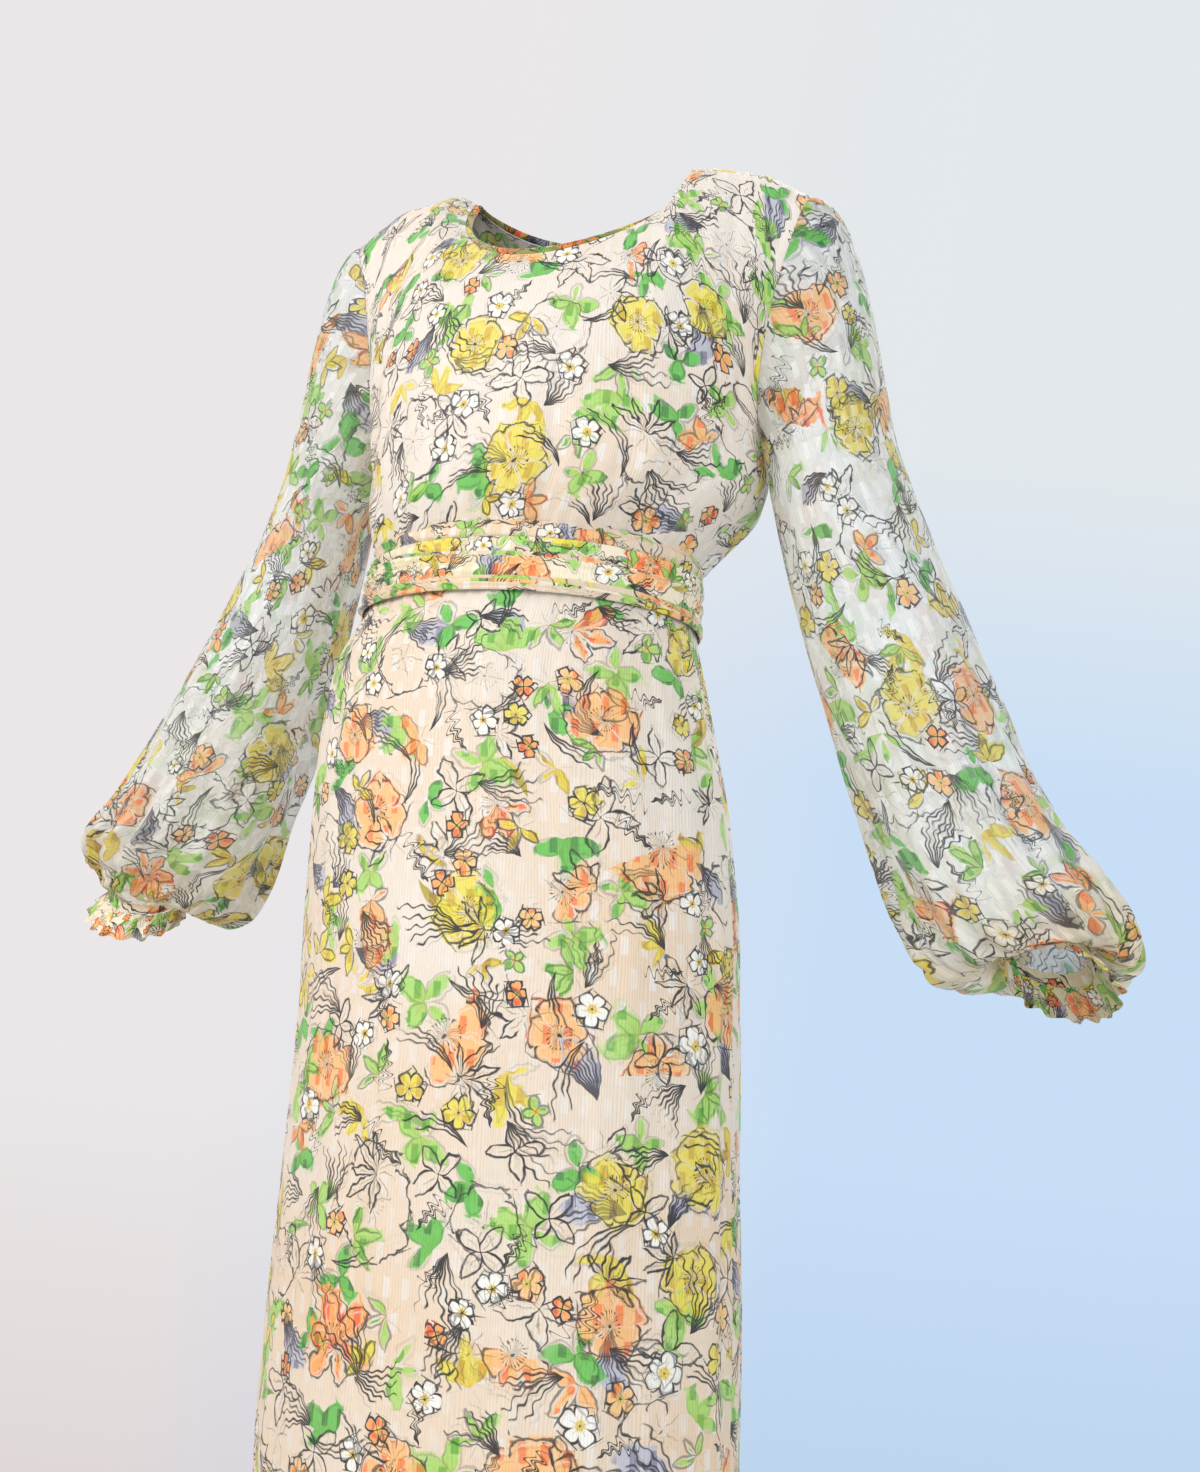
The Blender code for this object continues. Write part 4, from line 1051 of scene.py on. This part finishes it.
def draw_spray(cloth, layer, wobble):
    """Fill, ink and paint of one layer of fanned brush strokes, and how far out a point lies.

    The strokes leave a point to the left of the motif, bent with their reach, and the ink
    follows the nearest one.  A layer with no paint has no fill.
    """
    x, y, size = cloth.read(f"{layer}_place")
    count, bend, spread = cloth.read(f"{layer}_form")
    ink, zigzag, fill = cloth.read(f"{layer}_line")
    wave_x, _, wave_z = wobble
    x = x + 0.9
    reach = (x * x + y * y).root() / 1.8
    wag = (reach * 34 + size * 5000).math("SINE") * zigzag * 0.05
    angle = y.math("ARCTAN2", x) - bend * (reach - 0.4) * 0.8 + wag + wave_x * 0.14
    step = spread * 2 / count
    stroke = (angle / step).math("ROUND")
    luck = cloth.chance(stroke * 2.13 + size * 7000)
    off = (angle - stroke * step + (luck - 0.5) * step * 0.5).size()
    line = (off * reach * 1.8).below((wave_z * 1.6 + 1.0) * NIB / size, 0.02)
    line = line * reach.below(luck * 0.45 + 0.5, 0.04) * angle.size().below(spread, 0.03)
    if not uses(layer, "paint"):
        return None, line * ink, None, reach
    square = reach * reach
    body = (angle.size() + square * square * 0.5 + wave_z * 0.3).below(spread * 0.85, 0.06)
    painted = body * reach.below(0.92, 0.1) * fill
    return painted, line * ink, cloth.paint(f"{layer}_paint"), reach


def wet_paint(cloth, layer, paint, reach, dash, wash):
    """Colour of a layer's paint: deeper in its washes, on the dashes and near its middle."""
    rich = cloth.mix(0.75, paint, paint, "MULTIPLY")
    deep = cloth.mix((wash - 0.45) * 0.7, paint, rich)
    deep = cloth.mix(dash * 0.9, deep, cloth.tint(rich, paint))
    if layer.startswith("bloom"):
        deep = cloth.mix(reach.below(0.25, 0.4) * 0.4, deep, cloth.tint(paint, HEART_TINT))
    if layer == "bloom2":
        deep = cloth.mix(reach.below(0.24, 0.08), deep, srgb(*BLOSSOM_HEART))
    return deep


def lay_print(cloth, colour, dash, wash, wobble):
    """Every layer over the ground; returns the colour, and where it is inked and painted.

    Paint that lies over earlier ink thins it a little.
    """
    inked = covered = None
    for layer in DRAWN_ORDER:
        draw = draw_bloom if layer.startswith("bloom") else draw_spray
        painted, drawn, paint, reach = draw(cloth, layer, wobble)
        if painted:
            deep = wet_paint(cloth, layer, paint, reach, dash, wash)
            colour = cloth.mix(painted * 0.90, colour, deep)
            inked = inked and inked * (1 - painted * 0.35)
            covered = covered.math("MAXIMUM", painted) if covered else painted
        inked = inked.math("MAXIMUM", drawn) if inked else drawn
    return colour, inked, covered


def satin_dashes_and_sheen(cloth, u, v, slow, wobble):
    """Staggered rows of satin dashes: where they lie, and each one's painted sheen."""
    row = (v / DASH_RISE).math("FLOOR")
    place = u / DASH_PITCH + (row * 0.5).math("FRACT")
    across = (place.math("FRACT") - 0.5).size() + wobble[0] * 0.08
    down = ((v / DASH_RISE).math("FRACT") - 0.5).size() + wobble[1] * 0.06
    dash = across.below(0.19, 0.06) * down.below(0.30, 0.04)
    luck = cloth.chance(row * 0.173 + place.math("FLOOR") * 2.31)
    return dash, (((slow - 0.38) * 1.6 + luck * 0.55) * 0.62).clamped()


def cloth_material(name, ground, warm, sheer=0.0, depth=1.0, glow=0.0, bag=0.0, tone=1.0,
                   fall=0.0):
    """Printed chiffon: ground, satin dashes, print, fine ribs, and a see-through share.

    depth darkens the paints, for cloth that lies double.  bag is how many metres down a
    sleeve its cloth starts to gather; below it the colour turns warmer and darker, partly for
    folds lying over each other and partly as painted shade and warm bounce light in the
    gathers.  tone dims the ground, and the paints half as much; fall is how much warmer the
    ground gets toward the hem, a painted warm light bounced up from the floor; glow is the
    share of light that comes through.  The satin dashes get a painted sheen, and the ribs and
    the reverse side painted shade.
    """
    known = bpy.data.materials.get(name)
    if known:
        return known
    ink = settings().ink
    cloth = Cloth(name)
    pattern = cloth.node("ShaderNodeUVMap", uv_map="cloth").outputs[0]
    u, v, _ = cloth.split(pattern)
    wave = cloth.noise_node(pattern, 100.0, 1.5, 0.55).outputs[1]
    wobble = [part - 0.5 for part in cloth.split(wave)]
    slow = cloth.noise(pattern, 7.0)
    wash = cloth.noise(pattern, 240.0, 1.0, 0.6)
    drift = (slow - 0.35) * 2.2
    # fall warms the ground toward the hem: painted warm light bounced up from the floor.
    if fall:
        drift = (slow - 0.40) * 1.6 + (1.15 - v) * fall
    dash, glint = satin_dashes_and_sheen(cloth, u, v, slow, wobble)
    # The satin dashes are lightened by glint, a painted sheen that differs from dash to dash.
    colour = cloth.mix(dash * glint, cloth.mix(drift, ground, warm), SATIN_SHEEN)
    painted_tone = (1 + tone) / 2
    if tone < 1:
        colour = cloth.tint(colour, (tone / painted_tone,) * 3)
    colour, inked, covered = lay_print(cloth, colour, dash, wash, wobble)
    colour = cloth.mix(inked * ink, colour, INK)
    if depth > 1:
        colour = cloth.mix(depth - 1, colour, cloth.tint(colour, colour))
    # The gathers are made warmer and darker: partly folds lying over each other, partly painted
    # shade and warm bounce light.
    if bag:
        layers_and_shade = ((v * -1 - bag) / BAG_FADE).clamped() * (slow * 0.9 + 0.45)
        colour = cloth.mix(layers_and_shade * 0.85, colour, cloth.tint(colour, BAG_SHADE_TINT))
    # Ribs of the crinkled weave, whose line wanders, and a finer grain.  Both raise the bump, and
    # the ribs also darken the colour along them as painted shade.
    wander = cloth.noise(cloth.join(u * 60, v * 6), 1.0)
    rib = ((u + wander * 0.008) * (2 * math.pi / RIB_PITCH)).math("SINE")
    grain = cloth.noise(cloth.join(u * 900, v * 160), 1.0)
    bump = cloth.node("ShaderNodeBump", {
        "Strength": 0.35, "Distance": 0.0004,
        "Height": rib * 0.5 + grain * 0.6 + dash * 0.5}).outputs[0]
    # shade: painted shade along the ribs and the grain's uneven tone, times the paints' tone.
    shade = (rib * 0.045 + grain * 0.10 + 0.92) * painted_tone
    # Painted shade: the reverse side, seen inside the hollow garment, is darkened by 22 percent,
    # also standing for the duller back of the print.
    reverse = cloth.value(cloth.node("ShaderNodeNewGeometry").outputs["Backfacing"])
    shade = shade * (1 - reverse * 0.22)
    toned = cloth.tint(colour, cloth.node("ShaderNodeCombineColor", {
        0: shade, 1: shade, 2: shade}).outputs[0])
    surface = cloth.node("ShaderNodeBsdfPrincipled", {
        "Base Color": toned, "Roughness": 0.72 - dash * 0.22, "Normal": bump,
        "Sheen Weight": 0.18, "Sheen Roughness": 0.45, "Specular IOR Level": 0.35}).outputs[0]
    if glow:
        through = cloth.node("ShaderNodeBsdfTranslucent", {"Color": toned, "Normal": bump})
        surface = cloth.mix_shaders(glow, surface, through.outputs[0])
    if sheer:
        clear = cloth.node("ShaderNodeBsdfTransparent").outputs[0]
        solid = covered.math("MAXIMUM", inked * ink).math("MAXIMUM", dash * 0.75)
        surface = cloth.mix_shaders((1 - solid * 0.55) * sheer, surface, clear)
    return cloth.finish(surface)


# ---------------------------------------------------------------- settings
class KaftanSettings(bpy.types.PropertyGroup):
    """Sizes and colours that a user would change."""

    ground: bpy.props.FloatVectorProperty(
        name="Ground", description="Colour of the unprinted cloth of the panels",
        subtype="COLOR", default=srgb(251, 240, 228), min=0, max=1)
    warm: bpy.props.FloatVectorProperty(
        name="Warm ground", description="Warmer tone that drifts through the panels",
        subtype="COLOR", default=srgb(250, 222, 190), min=0, max=1)
    sleeve: bpy.props.FloatVectorProperty(
        name="Sleeve ground", description="Colour of the single layer of the sleeves",
        subtype="COLOR", default=srgb(252, 254, 254), min=0, max=1)
    sheer: bpy.props.FloatProperty(
        name="Sheerness", description="How much shows through one layer of a sleeve",
        subtype="FACTOR", default=0.34, min=0, max=1)
    ink: bpy.props.FloatProperty(
        name="Ink", description="Strength of the drawn lines", subtype="FACTOR",
        default=0.97, min=0, max=1)
    fineness: bpy.props.FloatProperty(
        name="Fineness", description="Rows of the mesh for each row of the drawing, as a share",
        default=1.0, min=0.2, max=2.0)
    light: bpy.props.FloatProperty(
        name="Light", description="Strength of the studio lights", default=1.0, min=0, max=10)


def settings():
    """The scene's settings of this add-on."""
    return bpy.context.scene.kaftan


def mesh_counts(name):
    """Columns and rows of a kind of piece at the chosen fineness; each stays even."""
    share = settings().fineness * 1.0
    return [max(4, 2 * round(count * share / 2)) for count in MESH_COUNTS[name]]


def body_material():
    """Cloth of the panels."""
    own = settings()
    return cloth_material("panel_cloth", tuple(own.ground), tuple(own.warm), tone=0.80,
                          fall=0.75)


def sleeve_material():
    """Cloth of the sleeves."""
    own = settings()
    return cloth_material("sleeve_cloth", tuple(own.sleeve), srgb(251, 246, 234), own.sheer,
                          glow=0.27, bag=0.40)


def sash_material():
    """Cloth of the sash, which lies double."""
    return cloth_material("sash_cloth", srgb(243, 233, 212), srgb(228, 218, 184), depth=1.35)


def binding_material():
    """Cloth of the neck binding, folded into a narrow roll."""
    return cloth_material("binding_cloth", srgb(214, 202, 150), srgb(150, 160, 90), depth=1.7,
                          glow=0.05)


# ---------------------------------------------------------------- the pieces
class KAFTAN_OT_panels(bpy.types.Operator):
    """Make the front and back panels"""
    bl_idname = "kaftan.panels"
    bl_label = "Front and back"

    def execute(self, context):
        for side, other, seed in (("front", "back", 301), ("back", "front", 302)):
            grid = panel_surface(side, *mesh_counts("panel"))
            piece, corners = add_surface(f"{side}_cloth", grid, panel_pattern(grid),
                                         flip=side == "back")
            finish_piece(piece, corners, (side,), body_material(), seed)
        return {"FINISHED"}


class KAFTAN_OT_sleeves(bpy.types.Operator):
    """Make the two gathered sleeves"""
    bl_idname = "kaftan.sleeves"
    bl_label = "Sleeves"

    def execute(self, context):
        for side, rings, arm, table, seed in (
                ("left", LEFT_RINGS, LEFT_ARM, LEFT_CREASES, 401),
                ("right", RIGHT_RINGS, RIGHT_ARM, RIGHT_CREASES, 402)):
            grid = sleeve_surface(rings, arm, table, *mesh_counts("sleeve"), seed)
            # The pattern is cut open along the sleeve's inner line.
            grid = np.roll(grid, grid.shape[1] // 2, axis=1)
            piece, corners = add_surface(f"sleeve_{side}_cloth", grid, sleeve_pattern(grid),
                                         closed=True, flip=arm["hand"] < 0)
            finish_piece(piece, corners, (f"sleeve_{side}",), sleeve_material(), seed)
        return {"FINISHED"}


class KAFTAN_OT_cuffs(bpy.types.Operator):
    """Make the narrow cuff bands and their frills"""
    bl_idname = "kaftan.cuffs"
    bl_label = "Cuffs"

    def execute(self, context):
        columns, band_rows, frill_rows = mesh_counts("cuff")
        turn = np.arange(columns)[None, :] / columns
        for side, arm, seed in (("left", LEFT_ARM, 501), ("right", RIGHT_ARM, 511)):
            # The band: drawn in at both edges, with the sleeve's gathers running over it.
            share = np.linspace(0, 1, band_rows)[:, None]
            swell = 0.0006 * np.sin(math.pi * share) - 0.0004
            rise = 0.0006 * ripple(turn, share, BAND_GATHERS, seed) + swell
            grid = cuff_surface(arm, share[:, 0] * CUFF_LENGTH + 0.0004, rise)
            band, corners = add_surface(f"cuff_band_{side}", grid, loop_pattern(grid),
                                        closed=True, flip=arm["hand"] < 0)
            finish_piece(band, corners, (f"cuff_{side}",), sash_material(), seed)
            # The frill: waves that grow toward its edge, uneven, with a rolled hem.
            share = np.linspace(0, 1, frill_rows)[:, None]
            wave = (np.sin(2 * math.pi * FRILL_COUNT * turn) * 0.5
                    + 0.5 * ripple(turn, share, FRILL_WAVES, seed + 1))
            rise = FRILL_FLARE * share + FRILL_DEPTH * (0.2 + 0.8 * share) * wave
            hem = 0.0007 * np.exp(-((share - 0.97) / 0.03) ** 2)
            grid = cuff_surface(arm, share[:, 0] * FRILL_LENGTH + CUFF_LENGTH + 0.0008,
                                rise + hem)
            frill, corners = add_surface(f"cuff_frill_{side}_cloth", grid, loop_pattern(grid),
                                         closed=True, flip=arm["hand"] < 0)
            finish_piece(frill, corners, (f"cuff_frill_{side}",), sash_material(),
                         seed + 2, scale=0.45)
        return {"FINISHED"}


def neck_edge(side, columns):
    """Points and outward normals of a panel's neck edge."""
    across, up = np.meshgrid(np.linspace(-NECK_SHARE, NECK_SHARE, columns + 1),
                             np.array([0.96, 0.98, 1.0]))
    grid = yoke_points(across, up, side)
    return grid[-1], (1 if side == "front" else -1) * grid_normals(grid)[-1]


class KAFTAN_OT_binding(bpy.types.Operator):
    """Make the narrow bias binding of the neck"""
    bl_idname = "kaftan.binding"
    bl_label = "Neck binding"

    def execute(self, context):
        columns, sides = mesh_counts("binding")[0], 12
        (front, front_out), (back, back_out) = (neck_edge(side, columns)
                                                for side in ("front", "back"))
        edge = np.concatenate([front, back[-2:0:-1]])
        outward = np.concatenate([front_out, back_out[-2:0:-1]])
        along = unit(np.roll(edge, -1, axis=0) - np.roll(edge, 1, axis=0))
        inward = unit(np.cross(outward, along))
        # A flattened roll, an ellipse carried round the edge just inside it.
        angle = np.linspace(0, 2 * math.pi, sides + 1)[:, None, None]
        reach = BINDING_CLEAR + BINDING_HALF_WIDTH * (1 - np.cos(angle))
        grid = edge[None] + inward[None] * reach + outward[None] * BINDING_RISE * np.sin(angle)
        piece, corners = add_surface("neck_binding_cloth", grid, loop_pattern(grid), closed=True)
        finish_piece(piece, corners, ("neck_binding",), binding_material(), 601,
                     scale=0.6)
        return {"FINISHED"}


def lap_surface(top, bottom, lift, groove, columns, rows, seed):
    """One lap of the sash, rows from its upper fold to its lower one.

    Soft creases run along it; toward the wearer's right side they draw together and deepen.
    """
    angle = 2 * math.pi * np.arange(columns)[None, :] / columns
    share = np.linspace(0, 1, rows)[:, None]
    away = (angle - DRAWN_AT + math.pi) % (2 * math.pi) - math.pi
    drawn = np.exp(-(away / DRAWN_SPREAD) ** 2)
    crease = ripple(share * (1 + 0.8 * drawn) + 0.10 * np.sin(angle + seed), angle * 0.5,
                    LAP_CREASES, seed)
    edge = np.sqrt(np.clip(1 - (2 * share - 1) ** 8, 0, 1))
    # A soft groove wanders along the middle of the lap.
    line = 0.42 + 0.12 * np.sin(angle + seed) + 0.05 * np.sin(3 * angle)
    strip = -groove * np.exp(-((share - line) / 0.05) ** 2)
    rise = (lift - LAP_WALL + LAP_WALL * edge + strip * edge
            + LAP_CREASE_DEPTH * (0.9 + 1.2 * drawn) * crease * edge)
    middle = (top + bottom) / 2
    height = middle + (top - middle) * (1 - 0.10 * drawn) * (1 - 2 * share)
    return waist_points(angle, height, rise)


class KAFTAN_OT_sash(bpy.types.Operator):
    """Make the sash: its two laps, its knot and its tails"""
    bl_idname = "kaftan.sash"
    bl_label = "Sash"

    def execute(self, context):
        lift = LAP_GAP + LAP_WALL
        for name, top, bottom, rise, groove, seed, paint in (
                ("sash_under_lap", SASH_TOP, SASH_TOP - LAP_WIDTH, lift, 0.0, 701,
                 body_material()),
                ("sash_over_lap", SASH_BOTTOM + LAP_WIDTH, SASH_BOTTOM, 2 * lift, LAP_GROOVE,
                 702, sash_material())):
            grid = lap_surface(top, bottom, rise, groove, *mesh_counts("lap"), seed)
            piece, corners = add_surface(f"{name}_cloth", grid, loop_pattern(grid), closed=True)
            finish_piece(piece, corners, (name,), paint, seed,
                         scale=0.8)
        grid = lap_surface(SASH_BOTTOM + STRIP_WIDTH, SASH_BOTTOM - 0.0004, 2 * lift + 0.0010,
                           0.0, *mesh_counts("strip"), 703)
        piece, corners = add_surface("sash_lower_fold", grid, loop_pattern(grid), closed=True)
        finish_piece(piece, corners, ("sash_over_lap",), body_material(), 705)
        self.make_knot()
        self.make_tails()
        return {"FINISHED"}

    def make_knot(self):
        """A squared ellipsoid with the wrap's folds running over it."""
        def squared(value):
            """A sine or cosine that stays longer near its ends."""
            return np.sign(value) * np.abs(value) ** 0.6

        height = (SASH_TOP + SASH_BOTTOM) / 2
        centre = waist_points(math.pi * 1.5, height, 2 * (LAP_GAP + LAP_WALL) + LAP_GAP
                              + KNOT_HALF[1])
        columns, rows = mesh_counts("knot")
        turn = 2 * math.pi * np.arange(columns)[None, :] / columns
        tilt = math.pi * (np.linspace(0.02, 0.98, rows)[:, None] - 0.5)
        around = 0.55 + 0.45 * squared(np.cos(tilt))
        around = around * (0.94 + 0.05 * np.sin(3 * tilt + 1.5 * np.sin(turn) + turn))
        shape = np.stack([around * squared(np.cos(turn)), around * squared(np.sin(turn)),
                          np.sin(tilt) + 0 * turn], axis=-1)
        grid = centre + shape * np.array(KNOT_HALF) * 0.985
        piece, corners = add_surface("sash_knot_cloth", grid, loop_pattern(grid), closed=True)
        finish_piece(piece, corners, ("sash_knot",), sash_material(), 711)

    def make_tails(self):
        """Two folded ends with soft lengthwise creases, lying on the back of the skirt."""
        columns, rows = mesh_counts("tail")
        sideways = np.linspace(-0.5, 0.5, columns + 1)[None, :]
        heights = np.linspace(TAIL_TOP, TAIL_END, rows + 1)[:, None]
        fall = (heights[0, 0] - heights) / (heights[0, 0] - heights[-1, 0])
        width = TAIL_TOP_WIDTH + (TAIL_WIDTH - TAIL_TOP_WIDTH) * ease(fall * 6)
        stand = 0.0030 + 0.0075 * (1 - ease(fall * 8))
        away = 3.9 + 9.1 * ease(fall * 6)
        for side, place, seed in (("left", -1, 721), ("right", 1, 722)):
            fold = ripple(sideways, fall * 4, TAIL_CREASES, seed)
            angle = math.pi * 1.5 - place * np.radians(away) + sideways * width / 0.112
            grid = body_points(angle, heights, stand + 0.0006 + 0.0008 * fold)
            piece, corners = add_surface(f"sash_tail_{side}_cloth", grid, panel_pattern(grid))
            finish_piece(piece, corners, (f"sash_tail_{side}",), sash_material(), seed)


# ---------------------------------------------------------------- the stage
def placed(side, up, back, place):
    """Matrix of an object at a place, whose own axes point to its side, up and back."""
    rows = np.stack([side, up, back], axis=1).tolist()
    return Matrix([(*row, place[axis]) for axis, row in enumerate(rows)] + [(0, 0, 0, 1)])


def add_object(name, data):
    """A new object in the scene."""
    made = bpy.data.objects.new(name, data)
    bpy.context.collection.objects.link(made)
    return made


class KAFTAN_OT_stage(bpy.types.Operator):
    """Make the pale wall and floor, the soft lights and the camera"""
    bl_idname = "kaftan.stage"
    bl_label = "Stage"

    def execute(self, context):
        scene = context.scene
        # The camera's heading, and the level line to its right.
        turn = math.radians(CAMERA_TURN)
        heading = np.array([-math.sin(turn), math.cos(turn), 0.0])
        right = np.array([math.cos(turn), math.sin(turn), 0.0])
        scene.camera = self.camera(heading, right)
        self.wall(heading, right)
        self.floor()
        self.lights()
        world = bpy.data.worlds.new("studio")
        world.use_nodes = True
        background = world.node_tree.nodes["Background"]
        background.inputs[0].default_value = (*srgb(232, 236, 240), 1)
        background.inputs[1].default_value = WORLD_STRENGTH
        scene.world = world
        scene.view_settings.view_transform = "Standard"
        return {"FINISHED"}

    def camera(self, heading, right):
        """Camera at the photo's place, turned, tipped up and rolled as it was."""
        tip, roll = math.radians(CAMERA_TIP), math.radians(CAMERA_ROLL)
        ahead = heading * math.cos(tip) + np.array([0.0, 0.0, math.sin(tip)])
        level_up = np.cross(right, ahead)
        across = math.cos(roll) * right + math.sin(roll) * level_up
        up = math.cos(roll) * level_up - math.sin(roll) * right
        data = bpy.data.cameras.new("camera")
        data.lens = CAMERA_LENS
        camera = add_object("camera", data)
        camera.matrix_world = placed(across, up, -ahead, CAMERA_PLACE)
        return camera

    def plane(self, name, points, material):
        """A stage piece of one face."""
        mesh = bpy.data.meshes.new(name)
        mesh.from_pydata([tuple(map(float, p)) for p in points], [], [(0, 1, 2, 3)])
        mesh.materials.append(material)
        add_object(name, mesh)

    def wall(self, heading, right):
        """Backdrop square to the camera's line, glowing with painted light: warm white at its left
        to a cool pale blue, and darker near the floor as painted shade.

        It is clear from behind, so that the back of the kaftan can be looked at.
        """
        middle = heading * WALL_AWAY + right * WALL_ASIDE
        corners = [middle + right * x + np.array([0, 0, z])
                   for x, z in ((-STAGE_HALF, FLOOR_HEIGHT), (STAGE_HALF, FLOOR_HEIGHT),
                                (STAGE_HALF, WALL_TOP), (-STAGE_HALF, WALL_TOP))]
        paint = Cloth("wall_paint")
        x, y, z = paint.split(paint.node("ShaderNodeTexCoord").outputs["Object"])
        side = x * float(right[0]) + y * float(right[1]) - WALL_ASIDE
        # Painted light: warm at the wall's left, cool blue at its right.
        share = ((side + 0.10 - (z + 0.7) * 0.10) / 0.75 + 0.5).clamped()
        # Painted shade: the wall darkens toward the floor.
        low = (-0.75 - z).clamped()
        left = paint.mix(low * 1.2, srgb(235, 231, 232), srgb(214, 203, 202))
        blue = paint.mix(low * 1.1, srgb(200, 222, 246), srgb(176, 199, 228))
        # The blue side pales higher up, as painted light.
        blue = paint.mix(((z + 0.28) * 2.2).clamped(), blue, srgb(226, 232, 236))
        lit = paint.node("ShaderNodeEmission", {"Color": paint.mix(share, left, blue),
                                                "Strength": 1.0})
        clear = paint.node("ShaderNodeBsdfTransparent")
        reverse = paint.node("ShaderNodeNewGeometry").outputs["Backfacing"]
        self.plane("wall", corners, paint.finish(
            paint.mix_shaders(reverse, lit.outputs[0], clear.outputs[0])))

    def floor(self):
        """Pale floor just below the hem."""
        corners = [(x, y, FLOOR_HEIGHT) for x, y in (
            (-STAGE_HALF, -STAGE_HALF), (STAGE_HALF, -STAGE_HALF), (STAGE_HALF, STAGE_HALF),
            (-STAGE_HALF, STAGE_HALF))]
        paint = Cloth("floor_paint")
        surface = paint.node("ShaderNodeBsdfPrincipled", {"Base Color": srgb(214, 210, 206),
                                                          "Roughness": 0.7})
        self.plane("floor", corners, paint.finish(surface.outputs[0]))

    def lights(self):
        """Three large soft lights, each aimed at a point of the kaftan's middle line."""
        for name, place, aim_height, power, size, tint in LIGHTS:
            data = bpy.data.lights.new(name, "AREA")
            data.energy = power * settings().light
            data.size = size
            data.color = tint
            direction = unit(np.array([0.0, 0.0, aim_height]) - np.array(place))
            side = unit(np.cross(direction, np.array([0.0, 0.0, 1.0])))
            add_object(name, data).matrix_world = placed(side, np.cross(side, direction),
                                                         -direction, place)


class KAFTAN_PT_sidebar(bpy.types.Panel):
    """Sidebar panel of the kaftan"""
    bl_label = "Kaftan"
    bl_idname = "KAFTAN_PT_sidebar"
    bl_space_type = "VIEW_3D"
    bl_region_type = "UI"
    bl_category = "Kaftan"

    def draw(self, context):
        layout = self.layout
        for name in KaftanSettings.__annotations__:
            layout.prop(context.scene.kaftan, name)
        for operator in OPERATORS:
            layout.operator(operator.bl_idname)


OPERATORS = (KAFTAN_OT_panels, KAFTAN_OT_sleeves, KAFTAN_OT_cuffs, KAFTAN_OT_binding,
             KAFTAN_OT_sash, KAFTAN_OT_stage)
CLASSES = (KaftanSettings, *OPERATORS, KAFTAN_PT_sidebar)


def register():
    """Add the classes and the settings."""
    for item in CLASSES:
        bpy.utils.register_class(item)
    bpy.types.Scene.kaftan = bpy.props.PointerProperty(type=KaftanSettings)


def unregister():
    """Take the classes and the settings away."""
    del bpy.types.Scene.kaftan
    for item in reversed(CLASSES):
        bpy.utils.unregister_class(item)


def main():
    """Register the add-on and make every piece."""
    register()
    bpy.ops.kaftan.panels()
    bpy.ops.kaftan.sleeves()
    bpy.ops.kaftan.cuffs()
    bpy.ops.kaftan.binding()
    bpy.ops.kaftan.sash()
    bpy.ops.kaftan.stage()


if __name__ == "__main__":
    main()
